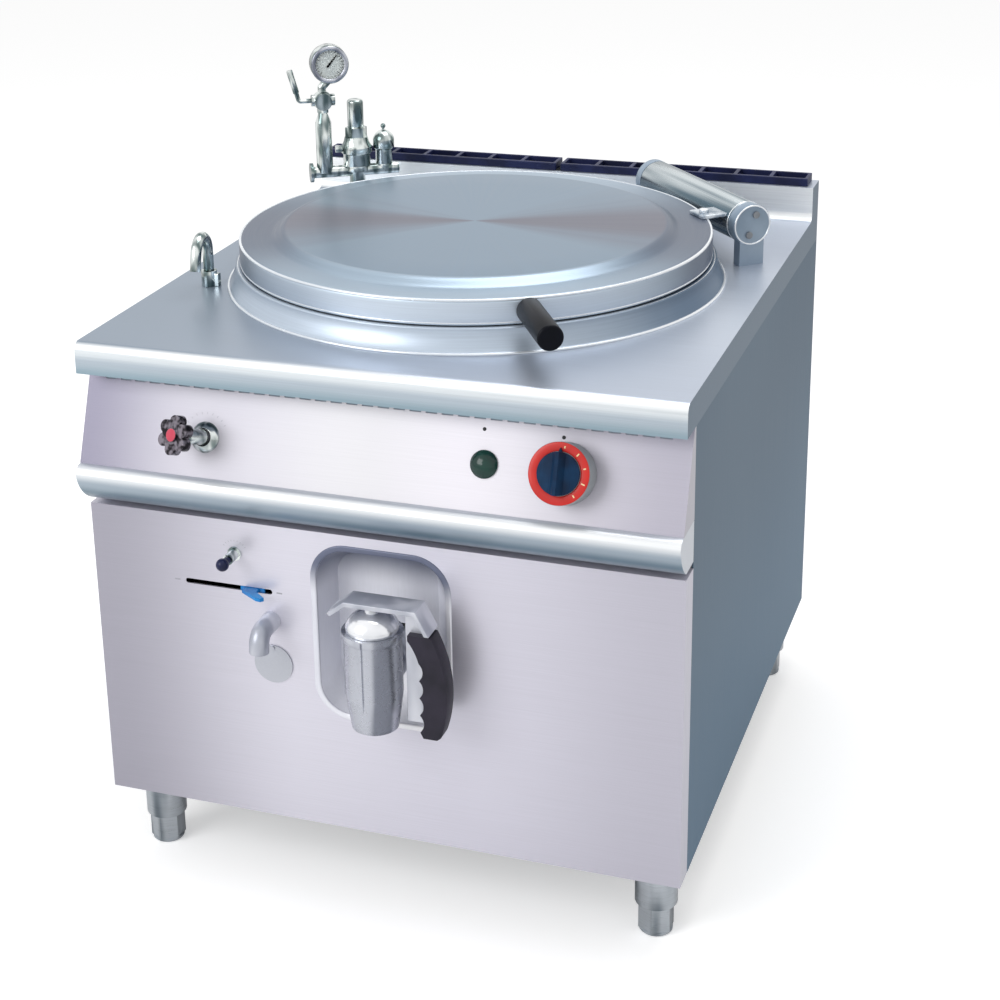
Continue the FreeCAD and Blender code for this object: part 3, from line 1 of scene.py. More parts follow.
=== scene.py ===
import bpy
import numpy as np
from mathutils import Matrix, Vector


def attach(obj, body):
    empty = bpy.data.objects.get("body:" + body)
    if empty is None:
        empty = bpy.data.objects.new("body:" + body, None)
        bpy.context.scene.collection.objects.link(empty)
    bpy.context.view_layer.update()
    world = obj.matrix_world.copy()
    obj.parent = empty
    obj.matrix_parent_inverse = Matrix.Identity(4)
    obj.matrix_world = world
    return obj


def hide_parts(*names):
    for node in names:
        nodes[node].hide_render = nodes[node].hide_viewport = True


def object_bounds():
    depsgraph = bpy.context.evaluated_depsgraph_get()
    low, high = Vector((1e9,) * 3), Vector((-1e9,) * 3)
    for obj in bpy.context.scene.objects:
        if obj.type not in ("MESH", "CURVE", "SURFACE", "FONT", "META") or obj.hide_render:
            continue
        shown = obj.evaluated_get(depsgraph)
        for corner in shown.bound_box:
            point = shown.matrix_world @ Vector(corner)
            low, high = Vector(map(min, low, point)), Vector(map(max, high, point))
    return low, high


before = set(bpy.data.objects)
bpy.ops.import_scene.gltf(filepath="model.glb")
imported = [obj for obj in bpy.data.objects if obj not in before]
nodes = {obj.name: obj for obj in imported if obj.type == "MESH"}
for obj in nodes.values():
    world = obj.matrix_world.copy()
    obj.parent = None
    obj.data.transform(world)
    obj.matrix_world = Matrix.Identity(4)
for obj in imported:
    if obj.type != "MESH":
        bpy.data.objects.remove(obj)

cad_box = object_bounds()

# Studio
# A pale floor and a white surround, with one large soft light from the front left and a weaker one
# from above. The camera stands where the catalogue photograph was taken, a little to the right.
scene = bpy.context.scene
scene.view_settings.view_transform = "Standard"


def put(tree, kind, links=None, **settings):
    """Adds a shader node, sets it, and fills its inputs from other nodes' outputs or plain values."""
    made = tree.nodes.new("ShaderNode" + kind)
    for key, value in settings.items():
        setattr(made, key, value)
    for key, value in (links or {}).items():
        if isinstance(value, bpy.types.NodeSocket):
            tree.links.new(value, made.inputs[key])
        else:
            made.inputs[key].default_value = value
    return made


def tone(red, green, blue):
    """A colour as it is read off a screen, 0 to 255, turned to linear light: ((c + 0.055) / 1.055) ^ 2.4."""
    c = np.array([red, green, blue]) / 255.0
    return (*np.where(c > 0.04045, ((c + 0.055) / 1.055) ** 2.4, c / 12.92).tolist(), 1.0)


surround = bpy.data.worlds.new("studio_surround")
surround.use_nodes = True
air = surround.node_tree
air.nodes.clear()
seen = put(air, "LightPath")
either = put(air, "Math", {0: seen.outputs["Is Camera Ray"], 1: seen.outputs["Is Glossy Ray"]},
             operation="MAXIMUM")
clear = put(air, "Math", {0: either.outputs[0], 1: seen.outputs["Is Transmission Ray"]}, operation="MAXIMUM")
level = put(air, "MapRange", {0: clear.outputs[0], 3: 0.62, 4: 1.0})
glow = put(air, "Background", {0: (1.0, 1.0, 1.0, 1.0), 1: level.outputs[0]})
put(air, "OutputWorld", {0: glow.outputs[0]})
scene.world = surround

yaw, pitch, roll = np.radians([20.49, -19.17, -1.42])
ahead = np.array([-np.sin(yaw) * np.cos(pitch), np.cos(yaw) * np.cos(pitch), np.sin(pitch)])
level_way = np.array([np.cos(yaw), np.sin(yaw), 0.0])
raised = np.cross(level_way, ahead)
across = np.cos(roll) * level_way + np.sin(roll) * raised
upward = -np.sin(roll) * level_way + np.cos(roll) * raised
lens = bpy.data.cameras.new("catalogue_camera")
lens.lens = 72.06
lens.sensor_width = 36.0
lens.shift_x = 0.07
lens.shift_y = -0.15
camera = bpy.data.objects.new("catalogue_camera", lens)
stance = np.eye(4)
stance[:3, :3] = np.array([across, upward, -ahead]).T
stance[:3, 3] = (0.87414, -2.50307, 1.58002)
camera.matrix_world = Matrix(stance.tolist())
scene.collection.objects.link(camera)
scene.camera = camera
straight_up = (0.0, 0.0, 1.0)


def soft_light(name, at, aim, size, watts):
    """A square soft box that stands at a point and faces another."""
    lamp = bpy.data.lights.new(name, "AREA")
    lamp.size = size
    lamp.energy = watts
    made = bpy.data.objects.new(name, lamp)
    back = np.array(at) - np.array(aim)
    back = back / np.linalg.norm(back)
    side = np.cross(straight_up, back)
    side = side / np.linalg.norm(side)
    turn = np.eye(4)
    turn[:3, :3] = np.array([side, np.cross(back, side), back]).T
    turn[:3, 3] = at
    made.matrix_world = Matrix(turn.tolist())
    scene.collection.objects.link(made)


soft_light("front_soft_box", (-2.4, -3.6, 2.9), (0.0, 0.0, 0.5), 2.6, 95.0)
soft_light("top_soft_box", (0.4, 0.6, 3.6), (0.0, 0.0, 0.8), 2.2, 45.0)


def mesh_piece(name, points, faces, body, finish, smooth=True):
    """Makes a mesh from arrays of points and faces, gives it its finish and lets it ride on a body."""
    mesh = bpy.data.meshes.new(name)
    mesh.from_pydata(points.tolist(), [], faces.tolist() if hasattr(faces, "tolist") else faces)
    mesh.update()
    mesh.polygons.foreach_set("use_smooth", [smooth] * len(mesh.polygons))
    made = bpy.data.objects.new(name, mesh)
    scene.collection.objects.link(made)
    if finish is not None:
        mesh.materials.append(finish)
    if body is not None:
        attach(made, body)
    return made


floor_finish = bpy.data.materials.new("studio_floor")
floor_finish.use_nodes = True
ground = floor_finish.node_tree
ground.nodes.clear()
matt = put(ground, "BsdfDiffuse", {0: (0.9, 0.9, 0.9, 1.0)})
looked_at = put(ground, "LightPath")
lift = put(ground, "Math", {0: looked_at.outputs["Is Camera Ray"], 1: 0.38}, operation="MULTIPLY")
shine = put(ground, "Emission", {0: (1.0, 1.0, 1.0, 1.0), 1: lift.outputs[0]})
both = put(ground, "AddShader", {0: matt.outputs[0], 1: shine.outputs[0]})
put(ground, "OutputMaterial", {0: both.outputs[0]})
lowest = cad_box[0][2]
reach = 9.0
floor = mesh_piece("studio_floor_sheet", np.array([[-reach, -reach, lowest], [reach, -reach, lowest],
                                                   [reach, reach, lowest], [-reach, reach, lowest]]),
                   [[0, 1, 2, 3]], None, floor_finish, False)

# Brushed sheets
# Worktop, panels and back are stainless sheet, brushed along their length before folding. Each sheet
# takes the grain's direction from the way it was cut. Their colours also carry painted light and shade:
# reflection clouds on all of them, and shading graded across the front faces and the side panels.
along_sheet = (7.0, 1000.0, 1000.0)
up_sheet = (900.0, 900.0, 5.0)
across_x = (1.0, 0.0, 0.0)


def brushed(name, light, dark, grain, rough=0.32, metallic=0.75, streak=0.35, cloud=(1.6, 1.6, 1.6),
            mark=0.03, turn=0.0, bend=None, lips=None, rise=None, climb_way=straight_up):
    """Brushed metal: fine noise drawn out along the grain shades it from dark to light, and a broad noise
    lays soft clouds of painted reflection over it, standing in for what sheet picks up from what stands
    around. turn swings both about the upright. bend adds a steady change along one way, a painted
    gradient of light and shade: (direction, start, end, colour at the end). rise is painted light and
    shade on the front faces by how far they lie along climb_way: rows of (distance, colour). lips is
    the colour of the faces to the sides, painted shade."""
    made = bpy.data.materials.new(name)
    made.use_nodes = True
    tree = made.node_tree
    tree.nodes.clear()
    place = put(tree, "TexCoord").outputs["Object"]
    swung = put(tree, "Mapping", {"Vector": place, "Rotation": (0.0, 0.0, turn)}).outputs[0]
    drawn = put(tree, "Mapping", {"Vector": swung, "Scale": grain})
    wide = put(tree, "Mapping", {"Vector": swung, "Scale": cloud})
    fine = put(tree, "TexNoise", {"Vector": drawn.outputs[0], "Scale": 1.0, "Detail": 5.0, "Roughness": 0.65})
    broad = put(tree, "TexNoise", {"Vector": wide.outputs[0], "Scale": 1.0, "Detail": 1.0})
    base = put(tree, "MapRange", {0: broad.outputs[0], 1: 0.35, 2: 0.65}, interpolation_type="SMOOTHSTEP")
    colour = put(tree, "Mix", {0: base.outputs[0], 6: dark, 7: light}, data_type="RGBA").outputs[2]
    if bend is not None:
        way, start, end, far = bend
        along = put(tree, "VectorMath", {0: place, 1: way}, operation="DOT_PRODUCT")
        part = put(tree, "MapRange", {0: along.outputs["Value"], 1: start, 2: end},
                   interpolation_type="SMOOTHSTEP")
        colour = put(tree, "Mix", {0: part.outputs[0], 6: colour, 7: far}, data_type="RGBA").outputs[2]
    if rise is not None:
        facing = put(tree, "SeparateXYZ", {0: put(tree, "TexCoord").outputs["Normal"]})
        high = put(tree, "VectorMath", {0: place, 1: climb_way}, operation="DOT_PRODUCT").outputs["Value"]
        low_z, high_z = rise[0][0], rise[-1][0]
        share = put(tree, "MapRange", {0: high, 1: low_z, 2: high_z})
        ramp = put(tree, "ValToRGB", {0: share.outputs[0]})
        ramp.color_ramp.interpolation = "EASE"
        while len(ramp.color_ramp.elements) < len(rise):
            ramp.color_ramp.elements.new(0.5)
        for stop, (z, shade_here) in zip(ramp.color_ramp.elements, rise):
            stop.position = (z - low_z) / (high_z - low_z)
            stop.color = shade_here
        front = put(tree, "MapRange", {0: facing.outputs[1], 1: -0.35, 2: -0.75})
        colour = put(tree, "Mix", {0: front.outputs[0], 6: colour, 7: ramp.outputs[0]},
                     data_type="RGBA").outputs[2]
        if lips is not None:
            flank = put(tree, "Math", {0: facing.outputs[0]}, operation="ABSOLUTE")
            beside = put(tree, "MapRange", {0: flank.outputs[0], 1: 0.5, 2: 0.8})
            colour = put(tree, "Mix", {0: beside.outputs[0], 6: colour, 7: lips}, data_type="RGBA").outputs[2]
    shade = put(tree, "MapRange", {0: fine.outputs[0], 1: 0.3, 2: 0.7,
                                   3: 1.0 - streak / 2, 4: 1.0 + streak / 3})
    worn = put(tree, "Mix", {0: 1.0, 6: colour, 7: shade.outputs[0]}, data_type="RGBA", blend_type="MULTIPLY")
    coarse = put(tree, "MapRange", {0: fine.outputs[0], 3: rough - 0.08, 4: rough + 0.12})
    dent = put(tree, "Bump", {"Height": fine.outputs[0], "Strength": mark, "Distance": 0.001})
    skin = put(tree, "BsdfPrincipled", {"Base Color": worn.outputs[2], "Roughness": coarse.outputs[0],
                                        "Metallic": metallic, "Normal": dent.outputs[0]})
    put(tree, "OutputMaterial", {0: skin.outputs[0]})
    return made


def dress(finish, *names, edge=0.0008):
    """Gives CAD pieces their finish, and rounds their sharp edges a little, as folding and buffing do."""
    for name in names:
        piece = nodes[name]
        for place in piece.material_slots:
            place.material = finish
        if edge:
            piece.modifiers.new("joined_faces", "WELD").merge_threshold = 0.00002
            rounding = piece.modifiers.new("rounded_edges", "BEVEL")
            rounding.width = edge
            rounding.segments = 2
            rounding.limit_method = "ANGLE"
            rounding.angle_limit = np.radians(32)
            rounding.harden_normals = False
            rounding.use_clamp_overlap = True


# Painted light: worktop darker to the left, side faces painted shade, front face shade to top highlight.
worktop_finish = brushed(
    "brushed_worktop", tone(198, 206, 218), tone(180, 188, 202), along_sheet, 0.34, 0.6, streak=0.14,
    bend=((-1.0, 0.0, 0.0), -0.2, 0.38, tone(142, 154, 168)), lips=tone(76, 101, 122),
    rise=((0.718, tone(146, 168, 180)), (0.735, tone(180, 192, 202)),
          (0.748, tone(226, 232, 236)), (0.756, tone(250, 252, 253))))
# Painted light and shade across the front panel: darker at both ends, lightest left of the middle.
panel_finish = brushed(
    "brushed_front", tone(216, 214, 225), tone(200, 198, 210), along_sheet, 0.34, 0.5, streak=0.08,
    climb_way=across_x,
    rise=((-0.39, tone(168, 166, 178)), (-0.1, tone(222, 220, 231)),
          (0.12, tone(216, 214, 226)), (0.39, tone(194, 192, 204))))
# Painted light and shade across the control panel: darkest at its left end, lightest right of middle.
fascia_finish = brushed(
    "brushed_fascia", tone(200, 198, 206), tone(186, 184, 193), along_sheet, 0.4, 0.35, streak=0.08,
    climb_way=across_x,
    rise=((-0.4, tone(134, 131, 149)), (-0.22, tone(188, 186, 195)), (-0.02, tone(204, 203, 207)),
          (0.14, tone(216, 213, 220)), (0.4, tone(176, 173, 186))))
# Painted shade: the side panels are a darker, bluer copy of the front steel, bluer towards the bottom.
side_finish = brushed(
    "brushed_side_painted_shade", tone(82, 105, 124), tone(73, 97, 117), up_sheet, 0.46, 0.4, streak=0.08,
    bend=((0.0, 0.0, -1.0), -0.65, -0.1, tone(82, 112, 136)))
# Painted light on the ledge's front: painted shade at its foot, rising to a painted highlight at its top.
ledge_finish = brushed(
    "brushed_ledge", tone(216, 220, 226), tone(200, 205, 214), along_sheet, 0.30, 0.45, streak=0.08,
    rise=((0.543, tone(80, 108, 126)), (0.556, tone(104, 130, 146)),
          (0.573, tone(164, 178, 190)), (0.592, tone(248, 250, 252))))
# Painted shade: the recess grows darker towards its top.
recess_finish = brushed(
    "pressed_recess", tone(248, 248, 252), tone(230, 231, 240), (300.0, 300.0, 30.0), 0.34, 0.25,
    streak=0.06, cloud=(6.0, 6.0, 6.0), bend=(straight_up, 0.445, 0.495, tone(104, 110, 132)))
dress(worktop_finish, "worktop", edge=0.0015)
dress(panel_finish, "lower_panel", edge=0.0)
dress(fascia_finish, "control_panel", edge=0.0)
dress(ledge_finish, "front_ledge", edge=0.001)
dress(side_finish, "side_panel_left", "side_panel_right", edge=0.0)
dress(brushed("brushed_back", tone(150, 158, 167), tone(132, 142, 153), along_sheet, 0.42, 0.5, streak=0.1),
      "back_panel", edge=0.0)
dress(recess_finish, "tap_recess", edge=0.0008)


# Pot collar and lid
# The collar is rolled sheet, brushed round and round, with a small lip at its top and a weld run at its
# foot. The lid is spun stainless: a level rim with a rounded edge, and a raised crown brushed in a sunburst.
# Thin near-white rings along the lip, the foot and the lid's edges are painted highlights.
pot_y = 0.0271
sunk = 0.0002


def spun(name, outline, at, axis, body, finish, around=96, ring=False):
    """A turned piece. outline is a row of (radius, height). Point (i, j) = at + axis * height i +
    radius i * (side * cos(turn j) + other * sin(turn j)). A ring's outline closes on itself, and any
    other outline starts and ends on the axis, where it closes in a single point."""
    outline = np.array(outline, float)
    axis = np.array(axis, float) / np.linalg.norm(axis)
    side = np.cross(axis, (0.31, 0.22, 0.93))
    side = side / np.linalg.norm(side)
    other = np.cross(axis, side)
    turn = np.linspace(0.0, 2.0 * np.pi, around, endpoint=False)
    circle = np.outer(np.cos(turn), side) + np.outer(np.sin(turn), other)
    rows = outline if ring else outline[1:-1]
    points = np.array(at) + rows[:, None, 1:] * axis + rows[:, None, :1] * circle[None]
    count = len(rows)
    i, j = np.meshgrid(np.arange(count if ring else count - 1), np.arange(around), indexing="ij")
    i2, j2 = (i + 1) % count, (j + 1) % around
    faces = np.stack([i * around + j, i * around + j2, i2 * around + j2, i2 * around + j], -1)
    faces = faces.reshape(-1, 4).tolist()
    points = points.reshape(-1, 3)
    if not ring:
        ends = np.array(at) + outline[[0, -1], 1:] * axis
        points = np.concatenate([points, ends])
        low, last = count * around, (count - 1) * around
        for j in range(around):
            faces.append([low, (j + 1) % around, j])
            faces.append([low + 1, last + j, last + (j + 1) % around])
    return mesh_piece(name, points, faces, body, finish)


def bars(name, middles, ways, lengths, width, out, height, body, finish):
    """A row of printed marks, each a thin bar: its corners are middle +- way * length / 2 +-
    (out x way) * width / 2, sunk a little into the face and at the height of the print."""
    middles, ways = np.array(middles, float), np.array(ways, float)
    halves = np.array(lengths, float)[:, None] / 2
    out = np.array(out, float)
    aside = np.cross(out, ways) * (width / 2)
    corners = [middles + a * ways * halves + b * aside + h * out
               for h in (-sunk, height) for a, b in ((-1, -1), (1, -1), (1, 1), (-1, 1))]
    points = np.stack(corners, 1).reshape(-1, 3)
    sides = np.array([[3, 2, 1, 0], [4, 5, 6, 7], [0, 1, 5, 4], [1, 2, 6, 5], [2, 3, 7, 6], [3, 0, 4, 7]])
    faces = (np.arange(len(middles))[:, None, None] * 8 + sides[None]).reshape(-1, 4)
    return mesh_piece(name, points, faces, body, finish, False)


def bead(radius, height, soft):
    """The outline of a low disc with a rounded edge, from its foot on the axis to its top on the axis."""
    arc = np.linspace(0.0, np.pi / 2, 6)
    edge = np.stack([radius - soft + soft * np.cos(arc), height - soft + soft * np.sin(arc)], 1)
    return np.concatenate([[[0.0, -sunk], [radius, -sunk]], edge, [[0.0, height]]])


def turned_finish(name, light, dark, rough, metallic, streak, sunlit, shaded, crown=0.0,
                  toward=(0.35, -0.94, 0.0), wall=None):
    """Metal finished on a turning machine. Inside the crown's radius the marks fan out from the middle:
    noise of the direction alone, and broad sectors are painted light and shade, darker where the direction
    lies across toward. Outside it they lie in circles: noise of distance and height, and the colour goes
    from painted shade to painted sunlight with the size of the direction's dot product with toward. wall is
    the colour of upright faces where they are sunlit, a painted highlight."""
    made = bpy.data.materials.new(name)
    made.use_nodes = True
    tree = made.node_tree
    tree.nodes.clear()
    place = put(tree, "TexCoord").outputs["Object"]
    flat = put(tree, "VectorMath", {0: place, 1: (0.0, pot_y, 0.0)}, operation="SUBTRACT")
    level = put(tree, "VectorMath", {0: flat.outputs[0], 1: (1.0, 1.0, 0.0)}, operation="MULTIPLY")
    far = put(tree, "VectorMath", {0: level.outputs[0]}, operation="LENGTH").outputs["Value"]
    way = put(tree, "VectorMath", {0: level.outputs[0]}, operation="NORMALIZE").outputs[0]
    fan = put(tree, "VectorMath", {0: way, "Scale": 30.0}, operation="SCALE").outputs[0]
    rays = put(tree, "TexNoise", {"Vector": fan, "Scale": 1.0, "Detail": 4.0, "Roughness": 0.6})
    deep = put(tree, "SeparateXYZ", {0: place}).outputs[2]
    climb = put(tree, "Math", {0: far, 1: deep}, operation="ADD").outputs[0]
    turns = put(tree, "Math", {0: climb, 1: 900.0}, operation="MULTIPLY").outputs[0]
    drift = put(tree, "VectorMath", {0: way, "Scale": 2.5}, operation="SCALE").outputs[0]
    lifted = put(tree, "CombineXYZ", {2: turns}).outputs[0]
    where = put(tree, "VectorMath", {0: drift, 1: lifted}, operation="ADD").outputs[0]
    rings = put(tree, "TexNoise", {"Vector": where, "Scale": 1.0, "Detail": 3.0, "Roughness": 0.6})
    slow = put(tree, "VectorMath", {0: way, "Scale": 2.1}, operation="SCALE").outputs[0]
    beams = put(tree, "TexNoise", {"Vector": slow, "Scale": 1.0, "Detail": 2.5})
    facing = put(tree, "VectorMath", {0: way, 1: toward}, operation="DOT_PRODUCT").outputs["Value"]
    size = put(tree, "Math", {0: facing}, operation="ABSOLUTE").outputs[0]
    swayed = put(tree, "Math", {0: beams.outputs[0], 1: 0.9, 2: size}, operation="MULTIPLY_ADD").outputs[0]
    base = put(tree, "MapRange", {0: swayed, 1: 0.5, 2: 1.1}, interpolation_type="SMOOTHSTEP")
    inner = put(tree, "Mix", {0: base.outputs[0], 6: dark, 7: light}, data_type="RGBA").outputs[2]
    half = put(tree, "MapRange", {0: size, 1: 0.3, 2: 0.97}, interpolation_type="SMOOTHSTEP")
    outer = put(tree, "Mix", {0: half.outputs[0], 6: shaded, 7: sunlit}, data_type="RGBA").outputs[2]
    soft = put(tree, "Mix", {0: 0.25, 6: outer, 7: inner}, data_type="RGBA").outputs[2]
    out = put(tree, "MapRange", {0: far, 1: crown - 0.001, 2: crown + 0.003}).outputs[0]
    colour = put(tree, "Mix", {0: out, 6: inner, 7: soft}, data_type="RGBA").outputs[2]
    if wall is not None:
        upright = put(tree, "SeparateXYZ", {0: put(tree, "TexCoord").outputs["Normal"]}).outputs[2]
        tilt = put(tree, "Math", {0: upright}, operation="ABSOLUTE").outputs[0]
        steep = put(tree, "MapRange", {0: tilt, 1: 0.5, 2: 0.2, 4: 0.7}).outputs[0]
        lit = put(tree, "Math", {0: steep, 1: half.outputs[0]}, operation="MULTIPLY").outputs[0]
        colour = put(tree, "Mix", {0: lit, 6: colour, 7: wall}, data_type="RGBA").outputs[2]
    fine = put(tree, "Mix", {0: out, 2: rays.outputs[0], 3: rings.outputs[0]}, data_type="FLOAT").outputs[0]
    shade = put(tree, "MapRange", {0: fine, 1: 0.3, 2: 0.7, 3: 1.0 - streak / 2, 4: 1.0 + streak / 3})
    worn = put(tree, "Mix", {0: 1.0, 6: colour, 7: shade.outputs[0]}, data_type="RGBA", blend_type="MULTIPLY")
    coarse = put(tree, "MapRange", {0: fine, 3: rough - 0.06, 4: rough + 0.1})
    dent = put(tree, "Bump", {"Height": fine, "Strength": 0.03, "Distance": 0.001})
    skin = put(tree, "BsdfPrincipled", {"Base Color": worn.outputs[2], "Roughness": coarse.outputs[0],
                                        "Metallic": metallic, "Normal": dent.outputs[0]})
    put(tree, "OutputMaterial", {0: skin.outputs[0]})
    return made


def corner(start, end, centre_r, centre_z, radius, count=8):
    """Points of a rounding in an outline: centre + radius * (cos a, sin a), with a from start to end."""
    a = np.radians(np.linspace(start, end, count))
    return np.stack([centre_r + radius * np.cos(a), centre_z + radius * np.sin(a)], 1)


# Painted light and shade: lighter along toward, darker across it, and the lid's upright rim a painted
# highlight.
collar_finish = turned_finish("brushed_collar", tone(190, 202, 214), tone(104, 124, 146), 0.34, 0.5, 0.12,
                              tone(186, 198, 212), tone(86, 106, 128), toward=(-0.1, -0.995, 0.0))
lid_finish = turned_finish("spun_lid", tone(126, 144, 161), tone(106, 107, 120), 0.32, 0.6, 0.10,
                           tone(170, 187, 202), tone(90, 102, 120), 0.262,
                           (0.22, -0.975, 0.0), tone(220, 230, 242))
pot_foot = (0.0, pot_y, 0.0)
collar_outline = np.concatenate([
    [[0.3241, 0.7602], [0.3448, 0.7601]], corner(-20, 70, 0.3432, 0.7612, 0.0016, 5),
    [[0.3412, 0.7640], [0.3330, 0.7870]], corner(0, 90, 0.3312, 0.7902, 0.0018),
    corner(90, 180, 0.3262, 0.7902, 0.0018),
    [[0.3241, 0.7880]]])
spun("collar_skin", collar_outline, pot_foot, (0, 0, 1), "cabinet", collar_finish, 256, True)
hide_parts("pot_collar")
climb = np.linspace(0.0, 1.0, 14)
lid_outline = np.concatenate([
    [[0.0, 0.7963], [0.3185, 0.7963]], corner(180, 270, 0.3200, 0.7948, 0.0015, 4),
    corner(270, 360, 0.3254, 0.7948, 0.0015, 5),
    [[0.3269, 0.8010]], corner(0, 90, 0.3209, 0.8215, 0.0060, 10), [[0.3000, 0.8274]],
    np.stack([0.2840 - 0.0200 * climb, 0.8275 + 0.0098 * (3 * climb ** 2 - 2 * climb ** 3)], 1),
    [[0.2000, 0.8374], [0.1000, 0.8375], [0.0, 0.8375]]])
spun("lid_skin", lid_outline, pot_foot, (0, 0, 1), "lid", lid_finish, 256)
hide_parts("lid_shell")
all_ways = (60.0, 60.0, 60.0)
# Painted highlights: thin near-white rings laid on the rolled edges of the lid and collar.
bead_finish = brushed("painted_highlight_bead", tone(246, 248, 250), tone(222, 228, 234), all_ways, 0.22, 0.5,
                      streak=0.05)
ring_turn = np.linspace(0.0, 2.0 * np.pi, 12, endpoint=False)
for name, radius, height, thick, body in (("lid_edge_highlight_bead", 0.3249, 0.8254, 0.0021, "lid"),
                                          ("lid_foot_highlight_bead", 0.3256, 0.7962, 0.0017, "lid"),
                                          ("collar_top_highlight_bead", 0.3302, 0.7897, 0.0025, "cabinet"),
                                          ("collar_foot_highlight_bead", 0.3438, 0.7612, 0.0022, "cabinet")):
    outline = np.stack([radius + thick * np.cos(ring_turn), height + thick * np.sin(ring_turn)], 1)
    spun(name, outline, pot_foot, (0, 0, 1), body, bead_finish, 256, True)

# Hinge
# A polished tube over a fixed shaft, with an end block at each end bolted to the worktop. Beside its near
# end, a small bright block with one bolt lies on the lid's edge. The tube's light and dark bands along its
# length are painted reflections, and the near-white rims and bolt are painted highlights.
hinge_turn = np.radians(48.33)
# Painted reflections: light and dark bands drawn out along the hinge's axis.
hinge_finish = brushed("polished_hinge", tone(206, 214, 217), tone(92, 112, 124), (4.0, 700.0, 700.0),
                       0.24, 0.9, streak=0.12, cloud=(2.0, 55.0, 55.0), turn=hinge_turn)
dress(hinge_finish, "hinge_tube", "hinge_shaft", edge=0.0012)
cap_finish = brushed("satin_cap", tone(150, 166, 182), tone(122, 140, 158), all_ways, 0.38, 0.4,
                     streak=0.1, cloud=(12.0, 12.0, 12.0))
dress(cap_finish, "hinge_supports", edge=0.0014)
hinge_way = np.array([0.66483, -0.74699, 0.0])
hinge_mid = np.array([0.27265, 0.26976, 0.818])
for name, along, radius, thick, body in (("near_cap_rim", 0.1281, 0.0274, 0.0013, "cabinet"),
                                         ("tube_groove_rim", 0.1085, 0.0287, 0.0009, "lid"),
                                         ("far_cap_rim", -0.1688, 0.0272, 0.0013, "cabinet")):
    outline = np.stack([radius + thick * np.cos(ring_turn), along + thick * np.sin(ring_turn)], 1)
    spun(name, outline, hinge_mid, hinge_way, body, bead_finish, 96, True)
bracket_finish = brushed("polished_bracket", tone(214, 221, 228), tone(138, 152, 166), (40.0, 40.0, 40.0),
                         0.25, 0.8, streak=0.06, cloud=all_ways)
hinge_out = np.array([0.74699, 0.66483, 0.0])
bracket_height = 0.0052
bracket_at = np.array([0.0, pot_y, 0.8276]) + 0.319 * hinge_out + 0.085 * hinge_way
bracket = bars("lid_bracket_plate", [bracket_at], [hinge_out], [0.040], 0.038, straight_up,
               bracket_height, "lid", bracket_finish)
rounding = bracket.modifiers.new("rounded_edges", "BEVEL")
rounding.width = 0.0014
rounding.segments = 2
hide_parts("lid_bracket")
bolt_at = bracket_at - 0.007 * hinge_out + np.array([0.0, 0.0, bracket_height])
spun("bracket_bolt", bead(0.0068, 0.0046, 0.0012), bolt_at, (0, 0, 1), "lid", bead_finish, 6)

# Vent slots and recess flange
# A strip of sheet behind the panel's slots keeps fingers out; its pale colour is painted light that makes
# the slots read light grey. The recess is pressed from its own sheet and ends in a soft flange that lies
# round the cut-out.
ledge_y = -0.3935
panel_rise, panel_run, panel_slope = 120.0, 47.0, 128.876
panel_out = np.array([0.0, -panel_rise, panel_run]) / panel_slope
panel_up = np.array([0.0, panel_run, panel_rise]) / panel_slope
strip_at = np.array([0.0, ledge_y + 0.0321, 0.703]) - 0.0018 * panel_out
strip_finish = brushed("slot_strip", tone(176, 190, 198), tone(150, 166, 176), (7.0, 600.0, 600.0), 0.5, 0.3,
                       streak=0.08)
strip_long, strip_high, strip_thick = 0.776, 0.009, 0.0003
backing = bars("slot_backing", [strip_at], [across_x], [strip_long], strip_high, panel_out, strip_thick,
               "cabinet", strip_finish)
front_y = ledge_y + 0.0087


def flange(name, left, right, low, high, bend, width, height, body, finish):
    """A raised band round a rounded opening: at each point of the outline, its outward way is
    (cos a, sin a) in the corners, and the band's section is (width * s, height * (1 - (2 s - 1) ^ 4))
    for s from 0 to 1."""
    per_corner = 14
    count = 4 * per_corner
    a = np.radians(np.concatenate([np.linspace(90 * q, 90 * q + 90, per_corner) for q in range(4)]))
    cx = np.repeat([right - bend, left + bend, left + bend, right - bend], per_corner)
    cz = np.repeat([high - bend, high - bend, low + bend, low + bend], per_corner)
    out = np.stack([np.cos(a), np.zeros(count), np.sin(a)], 1)
    base = np.stack([cx, np.full(count, front_y), cz], 1) + bend * out
    part = np.linspace(0.0, 1.0, 9)
    lift = height * (1.0 - (2.0 * part - 1.0) ** 4)
    points = base[:, None] + out[:, None] * (width * part)[None, :, None]
    points[:, :, 1] -= lift[None]
    rear = base[:, None] + out[:, None] * np.array([width, 0.0])[None, :, None] + np.array([0.0, 0.0005, 0.0])
    points = np.concatenate([points, rear], 1)
    rows = points.shape[1]
    i, j = np.meshgrid(np.arange(count), np.arange(rows), indexing="ij")
    i2, j2 = (i + 1) % count, (j + 1) % rows
    faces = np.stack([i * rows + j, i2 * rows + j, i2 * rows + j2, i * rows + j2], -1).reshape(-1, 4)
    return mesh_piece(name, points.reshape(-1, 3), faces, body, finish)


flange("recess_flange", -0.080, 0.094, 0.280, 0.512, 0.042, 0.0085, 0.0014, "cabinet", recess_finish)

